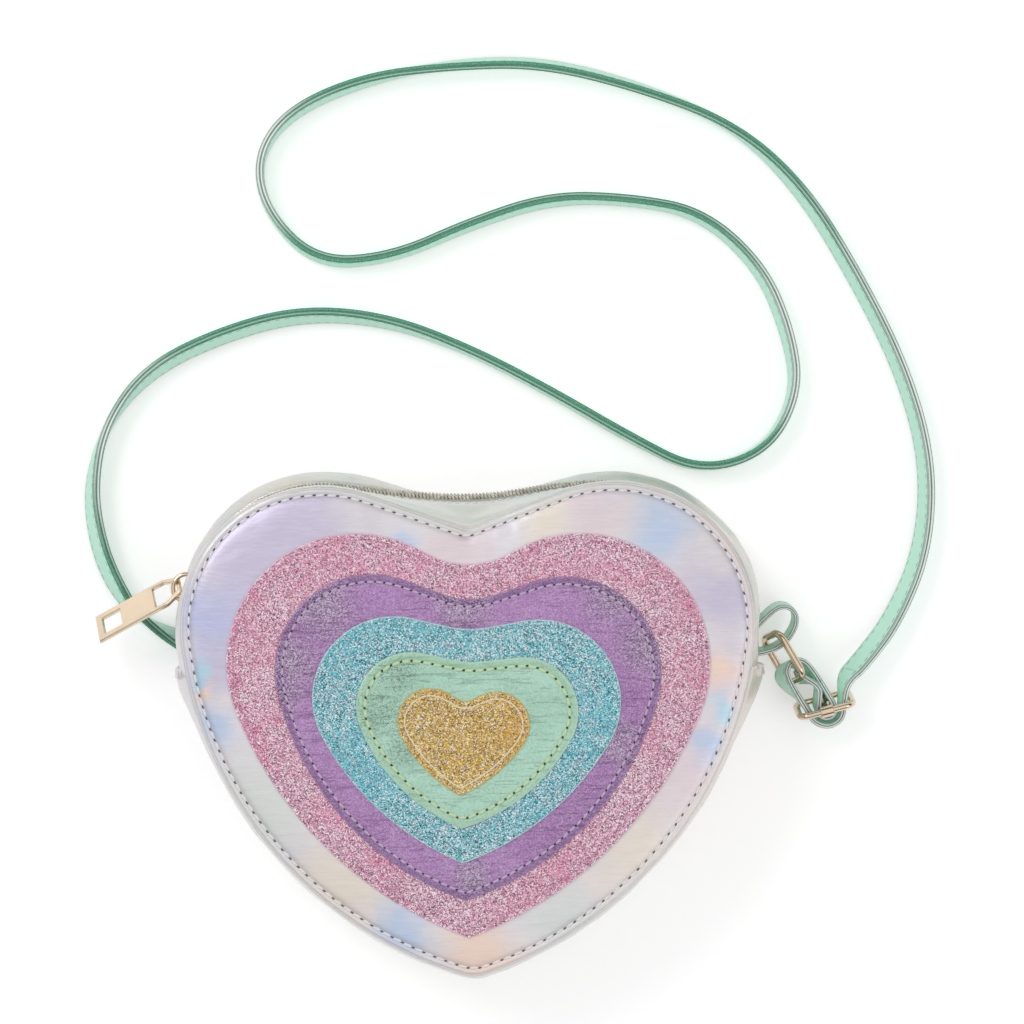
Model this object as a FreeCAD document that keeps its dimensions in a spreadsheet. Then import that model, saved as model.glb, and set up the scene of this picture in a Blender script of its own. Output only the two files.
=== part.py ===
"""Heart shaped shoulder purse, lying on its back: a parametric document in millimetres.

Frame: the back panel rests on z = 0, +Z points out of the front panel, +Y towards the
zipped top of the heart and +X towards the side that carries the strap ring.
"""
import FreeCAD, Part
import math
import os
import Sketcher

SIZES = {
    # Front and back panels
    "panel_width": 179.0,
    "panel_height": 153.0,
    "panel_lobe": 44.0,
    "panel_flank": 124.0,
    "panel_tip": 12.0,
    "panel_slope": 20.2,
    "panel_notch": 2.0,
    "panel_thick": 1.2,
    "bag_depth": 50.0,
    # Gusset walls and their bulge outside the panel outline
    "wall": 1.0,
    "lower_bulge": 2.6,
    "front_bulge": 1.8,
    "front_bulge_rise": 9.0,
    "front_bulge_slope": 14.0,
    "front_bulge_notch": 30.0,
    "rear_bulge": 3.2,
    "rear_bulge_drop": 9.0,
    "rear_bulge_slope": 14.0,
    "rear_bulge_notch": 30.0,
    "seam_height": 18.2,
    "tab_width": 3.8,
    "tab_proud": 0.8,
    "tab_margin": 9.0,
    # Foam boards and lining
    "foam_thick": 2.0,
    "foam_inset": 3.0,
    "lining_thick": 0.5,
    "lining_inset": 1.6,
    "lining_zip_room": 1.2,
    # Zip
    "zip_level": 25.3,
    "zip_bulge": 0.2,
    "zip_slope": 8.5,
    "zip_notch": 110.0,
    "zip_opening": 11.2,
    "tape_thick": 0.5,
    "coil_depth": 2.2,
    "coil_height": 2.3,
    "coil_gap": 1.2,
    "stop_length": 2.4,
    "stop_wrap": 0.5,
    # Slider, crown and pull
    "slider_length": 9.6,
    "slider_width": 9.0,
    "slider_plate": 0.6,
    "slider_lip": 1.1,
    "slider_post": 0.7,
    "slider_clear": 0.2,
    "slider_bearing": 163.3,
    "crown_radius": 4.4,
    "crown_wire": 1.5,
    "crown_sink": 0.2,
    "pull_length": 31.2,
    "pull_width": 11.2,
    "pull_thick": 1.4,
    "pull_bar": 1.3,
    "pull_nose": 6.4,
    "pull_arm": 1.5,
    "pull_eye_length": 8.4,
    "pull_taper": 5.0,
    "pull_window_length": 6.6,
    "pull_window_width": 6.6,
    "pull_border": 2.4,
    "pull_chamfer": 0.25,
    "pull_seat": 2.4,
    "pull_bearing": 207.6,
    "pull_droop": 13.0,
    "pull_roll": 46.0,
    # Heart layers sewn on the front panel
    "layer_thick": 0.8,
    "pink_width": 150.8,
    "pink_height": 126.0,
    "pink_lobe": 40.6,
    "pink_flank": 124.0,
    "pink_tip": 2.0,
    "pink_slope": 28.0,
    "pink_notch": 26.0,
    "pink_shift": -0.4,
    "pink_centre": -1.5,
    "pink_turn": -0.9,
    "purple_width": 120.2,
    "purple_height": 101.0,
    "purple_lobe": 30.0,
    "purple_flank": 91.0,
    "purple_tip": 1.2,
    "purple_slope": 19.2,
    "purple_notch": 22.0,
    "purple_shift": -0.75,
    "purple_centre": -2.2,
    "purple_turn": -1.7,
    "turquoise_width": 96.0,
    "turquoise_height": 76.2,
    "turquoise_lobe": 25.5,
    "turquoise_flank": 88.0,
    "turquoise_tip": 2.0,
    "turquoise_slope": 11.6,
    "turquoise_notch": 30.0,
    "turquoise_shift": -1.3,
    "turquoise_centre": -2.9,
    "turquoise_turn": -2.25,
    "mint_width": 69.1,
    "mint_height": 54.0,
    "mint_lobe": 17.1,
    "mint_flank": 57.0,
    "mint_tip": 1.2,
    "mint_slope": 9.0,
    "mint_notch": 18.0,
    "mint_shift": -1.25,
    "mint_centre": -3.2,
    "mint_turn": -3.6,
    "gold_width": 41.1,
    "gold_height": 32.7,
    "gold_lobe": 10.3,
    "gold_flank": 47.0,
    "gold_tip": 1.4,
    "gold_slope": 26.4,
    "gold_notch": 3.5,
    "gold_shift": -2.2,
    "gold_centre": -3.55,
    "gold_turn": -3.95,
    # Strap, its loop, ring and adjuster
    "strap_width": 9.0,
    "strap_thick": 2.2,
    "strap_floor": 0.3,
    "strap_root": 2.1,
    "strap_above_seam": 9.8,
    "route_unit": 1.0,
    "loop_thick": 1.5,
    "loop_width": 8.2,
    "ply_thick": 1.9,
    "ply_meet": 21.0,
    "lead_meet": 4.6,
    "ring_length": 16.6,
    "ring_width": 13.0,
    "ring_corner": 3.4,
    "ring_wire": 2.4,
    "ring_stand_off": 6.9,
    "ring_above_seam": 8.6,
    "ring_height": 8.4,
    "ring_bearing": -60.6,
    "ring_lean": 24.0,
    "loop_height": 8.9,
    "loop_lean": 10.0,
    "adjuster_length": 17.4,
    "adjuster_width": 13.4,
    "adjuster_corner": 2.6,
    "adjuster_wire": 2.2,
    "adjuster_reach": 27.8,
    "adjuster_side": 3.9,
    "adjuster_turn": -15.8,
    "adjuster_height": 9.1,
    "adjuster_lean": 16.0,
    "bar_wire": 2.0,
    "knuckle_length": 4.2,
    "knuckle_wall": 0.7,
    "knuckle_clear": 0.1,
    # Room that every cut and trim runs past the solid
    "overrun": 20.0,
}

# Centre line of the long strap on the floor, after its sewn end and before the adjuster
STRAP_ROUTE = [
    (-104.6, 40.6), (-115.3, 58.5), (-120.4, 78.5), (-116.0, 99.0),
    (-101.6, 116.0), (-79.3, 127.6), (-52.8, 133.9), (-24.8, 130.6), (3.0, 120.8),
    (29.5, 108.4), (54.1, 94.7), (74.8, 86.1), (93.0, 90.9), (104.1, 106.1),
    (104.7, 124.7), (96.3, 145.8), (78.6, 165.4), (54.7, 172.7), (28.4, 172.4),
    (2.2, 164.2), (-22.6, 152.9), (-46.6, 150.5), (-63.2, 165.6), (-68.6, 184.1),
    (-56.7, 200.3), (-31.2, 211.3), (-2.4, 216.6), (26.5, 216.1), (57.4, 206.7),
    (88.5, 192.4), (109.4, 171.0), (125.9, 143.1), (140.5, 112.0), (148.1, 82.0),
    (144.1, 54.2),
]

# Its last two points, counted from the ring's loop bar
STRAP_LANDING = [(36.6, 5.8), (22.0, -17.6)]

# The sewn loop and the strap's turn on the ring: distance along the ring from its loop bar, side
LOOP_ROUTE = [
    (-5.0, -3.6), (-7.2, 3.0), (-7.3, 8.0), (-3.8, 10.6), (0.0, 9.4), (2.9, 5.4),
    (4.1, 0.8), (3.4, -4.2), (1.6, -8.2),
]
TURN_ROUTE = [
    (23.0, 5.6), (14.4, 4.9), (10.6, 2.2), (10.8, -2.2), (14.2, -4.5), (23.0, -2.4),
]

# The strap on the adjuster: distance from its frame's middle, across and along the frame
END_ROUTE = [
    (-8.6, -0.7), (-1.2, 3.0), (2.6, 2.6), (3.4, -0.6), (1.2, -3.0), (-2.8, -2.5),
]
WRAP_ROUTE = [
    (-7.0, -8.8), (-1.2, -5.8), (3.4, -4.9), (6.4, -0.6), (5.0, 4.2), (0.6, 5.8), (-6.4, 7.8),
]

LAYERS = ["pink", "purple", "turquoise", "mint", "gold"]
BEND_SHARE = 0.45

doc = FreeCAD.newDocument("heart_purse")
sheet = doc.addObject("Spreadsheet::Sheet", "Sheet")
for row, (alias, number) in enumerate(SIZES.items(), 1):
    sheet.set("A%d" % row, alias)
    sheet.set("B%d" % row, str(number))
    sheet.setAlias("B%d" % row, alias)
doc.recompute()

NODES = {}
Z_AXIS = FreeCAD.Vector(0, 0, 1)


class Size:
    """A value of the sheet, or a sum of such values, as a number and as its expression."""

    def __init__(self, text, value):
        self.text = text
        self.value = value

    def __add__(self, other):
        other = as_size(other)
        return Size("(%s + %s)" % (self.text, other.text), self.value + other.value)

    def __sub__(self, other):
        other = as_size(other)
        return Size("(%s - %s)" % (self.text, other.text), self.value - other.value)

    def __mul__(self, other):
        other = as_size(other)
        return Size("(%s * %s)" % (self.text, other.text), self.value * other.value)

    def __truediv__(self, other):
        other = as_size(other)
        return Size("(%s / %s)" % (self.text, other.text), self.value / other.value)

    def __neg__(self):
        return Size("(0 - %s)" % self.text, -self.value)


def as_size(number):
    return number if isinstance(number, Size) else Size(repr(number), number)


def size(alias):
    return Size("Sheet." + alias, SIZES[alias])


def cosine(angle):
    return Size("cos(%s)" % angle.text, math.cos(math.radians(angle.value)))


def tangent(angle):
    return Size("tan(%s)" % angle.text, math.tan(math.radians(angle.value)))


ZERO = Size("0", 0.0)


class Heart:
    """A heart outline: two lobe arcs, two flank arcs, a rounded tip and a rounded notch."""

    def __init__(self, family, notch_family=None):
        notch_family = notch_family or family
        self.lobe = size(family + "_lobe")
        self.flank = size(family + "_flank")
        self.tip = size(family + "_tip")
        self.slope = size(notch_family + "_slope")
        self.notch = size(notch_family + "_notch")
        self.lobe_x = size(family + "_width") / 2 - self.lobe
        self.lobe_y = size(family + "_height") / 2 - self.lobe
        self.tip_drop = size(family + "_height") / 2 - self.tip
        rise = (self.lobe + self.notch) / cosine(self.slope)
        self.notch_y = self.lobe_y + rise - self.lobe_x * tangent(self.slope)


def bind(sketch, constraint, length):
    index = sketch.addConstraint(constraint)
    sketch.setExpression("Constraints[%d]" % index, length.text)


def arc_edge(centre, radius, start, end):
    circle = Part.Circle(centre, Z_AXIS, radius)
    return Part.ArcOfCircle(circle, start, end)


def flank_centre(heart):
    """Centre of the right flank arc, which touches the lobe arc and the tip arc from outside."""
    lobe = FreeCAD.Vector(heart.lobe_x.value, heart.lobe_y.value, 0)
    tip = FreeCAD.Vector(0, -heart.tip_drop.value, 0)
    to_lobe = heart.flank.value - heart.lobe.value
    to_tip = heart.flank.value - heart.tip.value
    gap = tip - lobe
    along = (to_lobe ** 2 - to_tip ** 2 + gap.Length ** 2) / (2 * gap.Length)
    across = math.sqrt(to_lobe ** 2 - along ** 2)
    unit = gap / gap.Length
    square = FreeCAD.Vector(unit.y, -unit.x, 0)
    return lobe + unit * along + square * across


def add_heart(sketch, heart, offset=ZERO):
    """Adds one closed heart, moved outwards by offset, with its sizes bound to the sheet."""
    lobe = FreeCAD.Vector(heart.lobe_x.value, heart.lobe_y.value, 0)
    tip = FreeCAD.Vector(0, -heart.tip_drop.value, 0)
    notch = FreeCAD.Vector(0, heart.notch_y.value, 0)
    flank = flank_centre(heart)
    lobe_left = FreeCAD.Vector(-lobe.x, lobe.y, 0)
    flank_left = FreeCAD.Vector(-flank.x, flank.y, 0)
    lobe_radius = heart.lobe + offset
    flank_radius = heart.flank + offset
    tip_radius = heart.tip + offset
    notch_radius = heart.notch - offset
    slope = math.radians(heart.slope.value)
    side = math.atan2(lobe.y - flank.y, lobe.x - flank.x)
    foot = math.atan2(tip.y - flank.y, tip.x - flank.x)
    half = math.pi / 2
    lean = FreeCAD.Vector(math.sin(slope), -math.cos(slope), 0)
    notch_right = notch + lean * notch_radius.value
    lobe_right_top = lobe - lean * lobe_radius.value
    notch_left = FreeCAD.Vector(-notch_right.x, notch_right.y, 0)
    lobe_left_top = FreeCAD.Vector(-lobe_right_top.x, lobe_right_top.y, 0)
    first = sketch.GeometryCount
    sketch.addGeometry(arc_edge(notch, notch_radius.value, 3 * half - slope, 3 * half + slope))
    sketch.addGeometry(Part.LineSegment(notch_right, lobe_right_top))
    sketch.addGeometry(arc_edge(lobe, lobe_radius.value, side, half + slope))
    sketch.addGeometry(arc_edge(flank, flank_radius.value, foot, side))
    sketch.addGeometry(arc_edge(tip, tip_radius.value, math.pi - foot, 2 * math.pi + foot))
    sketch.addGeometry(arc_edge(flank_left, flank_radius.value, math.pi - side, math.pi - foot))
    sketch.addGeometry(arc_edge(lobe_left, lobe_radius.value, half - slope, math.pi - side))
    sketch.addGeometry(Part.LineSegment(lobe_left_top, notch_left))
    joins = [(0, 2, 1, 1), (1, 2, 2, 2), (2, 1, 3, 2), (3, 1, 4, 2),
             (4, 1, 5, 2), (5, 1, 6, 2), (6, 1, 7, 1), (7, 2, 0, 1)]
    for edge, end, other, other_end in joins:
        sketch.addConstraint(
            Sketcher.Constraint("Tangent", first + edge, end, first + other, other_end))
    sketch.addConstraint(Sketcher.Constraint("Symmetric", first + 2, 3, first + 6, 3, -2))
    sketch.addConstraint(Sketcher.Constraint("Equal", first + 2, first + 6))
    sketch.addConstraint(Sketcher.Constraint("Equal", first + 3, first + 5))
    sketch.addConstraint(Sketcher.Constraint("PointOnObject", first, 3, -2))
    sketch.addConstraint(Sketcher.Constraint("PointOnObject", first + 4, 3, -2))
    for edge, radius in ((0, notch_radius), (2, lobe_radius), (3, flank_radius), (4, tip_radius)):
        bind(sketch, Sketcher.Constraint("Radius", first + edge, radius.value), radius)
    bind(sketch, Sketcher.Constraint("DistanceX", -1, 1, first + 2, 3, lobe.x), heart.lobe_x)
    bind(sketch, Sketcher.Constraint("DistanceY", -1, 1, first + 2, 3, lobe.y), heart.lobe_y)
    bind(sketch, Sketcher.Constraint("DistanceY", first + 4, 3, -1, 1, -tip.y), heart.tip_drop)
    bind(sketch, Sketcher.Constraint("DistanceY", -1, 1, first, 3, notch.y), heart.notch_y)


def add_polygon(sketch, corners):
    """Adds a closed polygon whose corners are pairs of sizes from the sketch origin."""
    first = sketch.GeometryCount
    points = [FreeCAD.Vector(x.value, y.value, 0) for x, y in corners]
    for index, point in enumerate(points):
        sketch.addGeometry(Part.LineSegment(point, points[(index + 1) % len(points)]))
    for index, (x, y) in enumerate(corners):
        edge = first + index
        before = first + (index - 1) % len(corners)
        sketch.addConstraint(Sketcher.Constraint("Coincident", before, 2, edge, 1))
        for kind, axis, length in (("DistanceX", -2, x), ("DistanceY", -1, y)):
            if length.value == 0:
                sketch.addConstraint(Sketcher.Constraint("PointOnObject", edge, 1, axis))
            elif length.value > 0:
                bind(sketch, Sketcher.Constraint(kind, -1, 1, edge, 1, length.value), length)
            else:
                bind(sketch, Sketcher.Constraint(kind, edge, 1, -1, 1, -length.value), -length)


def new_body(name):
    return doc.addObject("PartDesign::Body", name)


def new_sketch(body, name, plane="XY_Plane"):
    sketch = body.newObject("Sketcher::SketchObject", name)
    support = [item for item in body.Origin.OriginFeatures if item.Role == plane][0]
    sketch.AttachmentSupport = [(support, "")]
    sketch.MapMode = "FlatFace"
    return sketch


def add_pad(body, sketch, length, midplane=False):
    pad = body.newObject("PartDesign::Pad", body.Name + "_pad")
    pad.Profile = sketch
    pad.setExpression("Length", length.text)
    pad.Midplane = midplane
    return pad


def move(item, x=ZERO, y=ZERO, z=ZERO):
    for axis, length in (("x", x), ("y", y), ("z", z)):
        item.setExpression("Placement.Base." + axis, length.text)


def node(name, item):
    item.Label = name
    NODES[name] = item
    return item


def heart_plate(name, heart, thick, bottom, offset=ZERO):
    body = new_body(name)
    sketch = new_sketch(body, name + "_outline")
    add_heart(sketch, heart, offset)
    add_pad(body, sketch, thick)
    move(body, z=bottom)
    return node(name, body)


def heart_band(name, heart, outer, inner, low, high):
    """An upright band between two offsets of a heart outline."""
    body = new_body(name)
    sketch = new_sketch(body, name + "_outline")
    add_heart(sketch, heart, outer)
    add_heart(sketch, heart, inner)
    add_pad(body, sketch, high - low)
    move(body, z=low)
    return body


def trim_box(name, above):
    """A block over everything above, or below, the height of the side seams."""
    reach = size("panel_width") + size("overrun") + size("overrun")
    box = doc.addObject("Part::Box", name)
    box.setExpression("Length", reach.text)
    box.setExpression("Width", reach.text)
    box.setExpression("Height", reach.text)
    south = size("seam_height") if above else size("seam_height") - reach
    move(box, x=-(reach / 2), y=south, z=-size("overrun"))
    return box


def common(name, base, tool):
    item = doc.addObject("Part::Common", name)
    item.Base = base
    item.Tool = tool
    return item


def gusset_loft(name, sections):
    """A solid through heart outlines given as heart, offset and height."""
    loft = doc.addObject("Part::Loft", name)
    sketches = []
    for index, (heart, offset, height) in enumerate(sections):
        sketch = doc.addObject("Sketcher::SketchObject", "%s_section_%d" % (name, index))
        add_heart(sketch, heart, offset)
        move(sketch, z=height)
        sketches.append(sketch)
    loft.Sections = sketches
    loft.Solid = True
    loft.Ruled = True
    return loft


def gusset_wall(name, sections, above):
    """One strip of gusset: an outer loft, less the same loft inside the wall, trimmed at the seam."""
    wall = size("wall")
    outer = gusset_loft(name + "_outer", sections)
    inner = gusset_loft(name + "_inner", [(heart, offset - wall, height)
                                          for heart, offset, height in sections])
    shell = doc.addObject("Part::Cut", name + "_shell")
    shell.Base = outer
    shell.Tool = inner
    return node(name, common(name, shell, trim_box(name + "_trim", above))), outer


def make_panels():
    panel = Heart("panel")
    thick = size("panel_thick")
    depth = size("bag_depth")
    foam = size("foam_thick")
    lining = size("lining_thick")
    inset = -size("foam_inset")
    heart_plate("back_panel", panel, thick, ZERO)
    heart_plate("front_panel", panel, thick, depth - thick)
    heart_plate("back_foam", panel, foam, thick, inset)
    heart_plate("front_foam", panel, foam, depth - thick - foam, inset)
    heart_plate("back_lining", panel, lining, thick + foam, inset)
    heart_plate("front_lining", panel, lining, depth - thick - foam - lining, inset)


def make_layers():
    bottom = size("bag_depth")
    for colour in LAYERS:
        body = heart_plate(colour + "_heart", Heart(colour), size("layer_thick"), bottom)
        turn = FreeCAD.Rotation(Z_AXIS, SIZES[colour + "_turn"])
        body.Placement = FreeCAD.Placement(body.Placement.Base, turn)
        move(body, x=size(colour + "_shift"), y=size(colour + "_centre"), z=bottom)
        bottom = bottom + size("layer_thick")


def make_gussets():
    depth = size("bag_depth")
    back = size("panel_thick")
    front = depth - size("panel_thick")
    half_opening = size("zip_opening") / 2
    zip_front = size("zip_level") + half_opening
    zip_rear = size("zip_level") - half_opening
    seam = Heart("panel")
    mouth = Heart("panel", "zip")
    front_swell = Heart("panel", "front_bulge")
    rear_swell = Heart("panel", "rear_bulge")
    gusset_wall("front_zip_gusset", [
        (mouth, size("zip_bulge"), zip_front),
        (front_swell, size("front_bulge"), zip_front + size("front_bulge_rise")),
        (seam, ZERO, front)], True)
    gusset_wall("rear_zip_gusset", [
        (seam, ZERO, back),
        (rear_swell, size("rear_bulge"), zip_rear - size("rear_bulge_drop")),
        (mouth, size("zip_bulge"), zip_rear)], True)
    _, outer = gusset_wall("lower_gusset", [
        (seam, ZERO, back),
        (rear_swell, size("lower_bulge"), depth / 2),
        (seam, ZERO, front)], False)
    make_seam_tabs(outer)


def make_seam_tabs(outer):
    """The bound ends of the lower gusset, folded out over the side seams."""
    margin = size("tab_margin")
    width = size("tab_width")
    reach = size("panel_width") / 2
    proud = size("lower_bulge") + size("tab_proud")
    length = size("panel_lobe") / 2
    for name, west in (("left_seam_tab", -(reach + proud)), ("right_seam_tab", reach + proud - length)):
        box = doc.addObject("Part::Box", name + "_block")
        box.setExpression("Length", length.text)
        box.setExpression("Width", width.text)
        box.setExpression("Height", (size("bag_depth") - margin - margin).text)
        move(box, x=west, y=size("seam_height") - width, z=margin)
        tab = doc.addObject("Part::Cut", name)
        tab.Base = box
        tab.Tool = outer
        node(name, tab)


def make_lining():
    panel = Heart("panel")
    outer = -size("lining_inset") - size("wall")
    inner = outer - size("lining_thick")
    low = size("panel_thick") + size("foam_thick") + size("lining_thick")
    high = size("bag_depth") - low
    room = size("zip_opening") / 2 + size("lining_zip_room")
    level = size("zip_level")
    strips = [("lower_lining", low, high, False),
              ("front_zip_lining", level + room, high, True),
              ("rear_zip_lining", low, level - room, True)]
    for name, bottom, top, above in strips:
        band = heart_band(name + "_band", panel, outer, inner, bottom, top)
        node(name, common(name, band, trim_box(name + "_trim", above)))


def tape_centre():
    """Offset of the zip tape's middle from the panel outline."""
    return size("zip_bulge") - size("wall") / 2


def make_zip_chain():
    mouth = Heart("panel", "zip")
    level = size("zip_level")
    half_tape = size("tape_thick") / 2
    half_coil = size("coil_depth") / 2
    gap = size("coil_gap") / 2
    edge = gap + size("coil_height")
    tape_end = size("zip_opening") / 2
    bands = [("front_zip_tape", half_tape, level + edge, level + tape_end),
             ("rear_zip_tape", half_tape, level - tape_end, level - edge),
             ("front_zip_coil", half_coil, level + gap, level + edge),
             ("rear_zip_coil", half_coil, level - edge, level - gap)]
    for name, half, low, high in bands:
        band = heart_band(name + "_band", mouth, tape_centre() + half, tape_centre() - half, low, high)
        node(name, common(name, band, trim_box(name + "_trim", True)))


def make_zip_stops():
    """The metal clips that close both ends of the coil, standing on the side seams."""
    mouth = Heart("panel", "zip")
    level = size("zip_level")
    outer = tape_centre() + size("coil_depth") / 2 + size("stop_wrap")
    inner = tape_centre() + size("coil_depth") / 2
    half = size("coil_gap") / 2 + size("coil_height")
    reach = size("panel_width")
    for name, west in (("left_zip_stop", -reach), ("right_zip_stop", ZERO)):
        band = heart_band(name + "_band", mouth, outer, inner, level - half, level + half)
        box = doc.addObject("Part::Box", name + "_trim")
        box.setExpression("Length", reach.text)
        box.setExpression("Width", size("stop_length").text)
        box.setExpression("Height", size("bag_depth").text)
        move(box, x=west, y=size("seam_height"))
        node(name, common(name, band, box))


def slider_frame():
    """The left lobe's centre at zip level, turned so that +X points out at the slider."""
    heart = Heart("panel")
    place = FreeCAD.Vector(-heart.lobe_x.value, heart.lobe_y.value, SIZES["zip_level"])
    return FreeCAD.Placement(place, FreeCAD.Rotation(Z_AXIS, SIZES["slider_bearing"]))


def slider_face():
    """Distance from the lobe's centre to the slider's outer face."""
    centre = size("panel_lobe") + tape_centre()
    return centre + size("coil_depth") / 2 + size("slider_clear") + size("slider_plate")


def make_slider():
    centre = size("panel_lobe") + tape_centre()
    half_coil = size("coil_depth") / 2 + size("slider_clear")
    plate = size("slider_plate")
    inner_top = centre - half_coil
    inner_bottom = inner_top - plate
    outer_bottom = centre + half_coil
    outer_top = slider_face()
    lip_foot = centre + size("tape_thick") / 2 + size("slider_clear")
    half = size("slider_width") / 2
    lip = half - size("slider_lip")
    post = size("slider_post") / 2
    body = new_body("slider_body")
    sketch = new_sketch(body, "slider_section", "XZ_Plane")
    right = [(inner_bottom, half), (inner_top, half), (inner_top, post), (outer_bottom, post),
             (outer_bottom, lip), (lip_foot, lip), (lip_foot, half), (outer_top, half)]
    left = [(x, -y) for x, y in reversed(right)]
    add_polygon(sketch, right + left)
    turn = body.newObject("PartDesign::Revolution", "slider_turn")
    turn.Profile = sketch
    turn.ReferenceAxis = (sketch, ["V_Axis"])
    turn.Midplane = True
    span = size("slider_length") / centre * 180 / math.pi
    turn.setExpression("Angle", span.text)
    body.Placement = slider_frame()
    crown = doc.addObject("Part::Torus", "slider_crown")
    crown.setExpression("Radius1", size("crown_radius").text)
    crown.setExpression("Radius2", (size("crown_wire") / 2).text)
    crown.Angle3 = 180
    seat = FreeCAD.Vector(outer_top.value - SIZES["crown_sink"], 0, 0)
    upright = FreeCAD.Rotation(Z_AXIS, -90)
    crown.Placement = slider_frame().multiply(FreeCAD.Placement(seat, upright))
    slider = doc.addObject("Part::Fuse", "zip_slider")
    slider.Base = body
    slider.Tool = crown
    node("zip_slider", slider)


def pull_frame():
    """The end bar of the pull inside the crown, with +X along the pull and +Y along the bar."""
    seat = FreeCAD.Placement(FreeCAD.Vector(slider_face().value + SIZES["pull_seat"], 0, 0), FreeCAD.Rotation())
    place = slider_frame().multiply(seat).Base
    bearing = FreeCAD.Rotation(Z_AXIS, SIZES["pull_bearing"])
    droop = FreeCAD.Rotation(FreeCAD.Vector(0, 1, 0), SIZES["pull_droop"])
    roll = FreeCAD.Rotation(FreeCAD.Vector(1, 0, 0), SIZES["pull_roll"])
    return FreeCAD.Placement(place, bearing.multiply(droop).multiply(roll))


def make_pull():
    bar = size("pull_bar") / 2
    nose = size("pull_nose") / 2
    half = size("pull_width") / 2
    arm = size("pull_arm")
    end = size("pull_length") - bar
    eye = size("pull_eye_length") + bar
    taper = size("pull_taper")
    border = size("pull_border")
    window = size("pull_window_width") / 2
    body = new_body("zip_pull")
    sketch = new_sketch(body, "zip_pull_outline")
    add_polygon(sketch, [(-bar, -nose), (-bar, nose), (taper, half), (end, half),
                         (end, -half), (taper, -half)])
    add_polygon(sketch, [(bar, -(nose - arm)), (bar, nose - arm), (taper, half - arm),
                         (eye, half - arm), (eye, -(half - arm)), (taper, -(half - arm))])
    start = end - border - size("pull_window_length")
    add_polygon(sketch, [(start, -window), (start, window), (end - border, window), (end - border, -window)])
    pad = add_pad(body, sketch, size("pull_thick"), True)
    doc.recompute()
    faces = []
    for index, face in enumerate(pad.Shape.Faces, 1):
        if abs(face.normalAt(0, 0).z) > BEND_SHARE:
            faces.append("Face%d" % index)
    chamfer = body.newObject("PartDesign::Chamfer", "zip_pull_edges")
    chamfer.Base = (pad, faces)
    chamfer.setExpression("Size", size("pull_chamfer").text)
    body.Placement = pull_frame()
    node("zip_pull", body)


def ring_place(height):
    """The middle of the ring's loop bar, beside the right side seam."""
    east = SIZES["panel_width"] / 2 + SIZES["ring_stand_off"]
    north = SIZES["seam_height"] + SIZES["ring_above_seam"]
    return FreeCAD.Vector(east, north, height)


def hardware_frame():
    """The loop bar of the ring: +X along the ring, +Z along its bars, leaning off the upright."""
    place = ring_place(SIZES["ring_height"])
    bearing = FreeCAD.Rotation(Z_AXIS, SIZES["ring_bearing"])
    lean = FreeCAD.Rotation(FreeCAD.Vector(1, 0, 0), -SIZES["ring_lean"])
    return FreeCAD.Placement(place, bearing.multiply(lean))


def wire_link(name, length, width, corner, wire):
    """A closed rounded link of round wire in the XZ plane, centred on its own origin."""
    x = length / 2
    z = width / 2
    body = new_body(name)
    path = new_sketch(body, name + "_path", "XZ_Plane")
    corners = [(x, z), (-x, z), (-x, -z), (x, -z)]
    inward = [(-1, -1), (1, -1), (1, 1), (-1, 1)]
    starts = []
    ends = []
    for (cx, cz), (ix, iz) in zip(corners, inward):
        on_side = FreeCAD.Vector(cx.value, cz.value + iz * corner.value, 0)
        on_top = FreeCAD.Vector(cx.value + ix * corner.value, cz.value, 0)
        if ix * iz > 0:
            starts.append(on_side)
            ends.append(on_top)
        else:
            starts.append(on_top)
            ends.append(on_side)
    quarter = math.pi / 2
    for index, ((cx, cz), (ix, iz)) in enumerate(zip(corners, inward)):
        centre = FreeCAD.Vector(cx.value + ix * corner.value, cz.value + iz * corner.value, 0)
        path.addGeometry(arc_edge(centre, corner.value, index * quarter, (index + 1) * quarter))
        following = (index + 1) % len(corners)
        path.addGeometry(Part.LineSegment(ends[index], starts[following]))
    for index in range(len(corners)):
        arc = 2 * index
        following = 2 * ((index + 1) % len(corners))
        path.addConstraint(Sketcher.Constraint("Tangent", arc, 2, arc + 1, 1))
        path.addConstraint(Sketcher.Constraint("Tangent", arc + 1, 2, following, 1))
    for index, kind in ((1, "Horizontal"), (3, "Vertical")):
        path.addConstraint(Sketcher.Constraint(kind, index))
    for arc in (2, 4, 6):
        path.addConstraint(Sketcher.Constraint("Equal", 0, arc))
    bind(path, Sketcher.Constraint("Radius", 0, corner.value), corner)
    bind(path, Sketcher.Constraint("DistanceX", -1, 1, 0, 3, (x - corner).value), x - corner)
    bind(path, Sketcher.Constraint("DistanceY", -1, 1, 0, 3, (z - corner).value), z - corner)
    bind(path, Sketcher.Constraint("DistanceX", 4, 3, -1, 1, (x - corner).value), x - corner)
    bind(path, Sketcher.Constraint("DistanceY", 4, 3, -1, 1, (z - corner).value), z - corner)
    section = new_sketch(body, name + "_section", "XY_Plane")
    section.addGeometry(Part.Circle(FreeCAD.Vector(x.value, 0, 0), Z_AXIS, wire.value / 2))
    section.addConstraint(Sketcher.Constraint("PointOnObject", 0, 3, -1))
    bind(section, Sketcher.Constraint("DistanceX", -1, 1, 0, 3, x.value), x)
    bind(section, Sketcher.Constraint("Radius", 0, wire.value / 2), wire / 2)
    pipe = body.newObject("PartDesign::AdditivePipe", name + "_pipe")
    pipe.Profile = section
    pipe.Spine = (path, ["Edge%d" % edge for edge in range(1, path.GeometryCount + 1)])
    return node(name, body)


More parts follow.
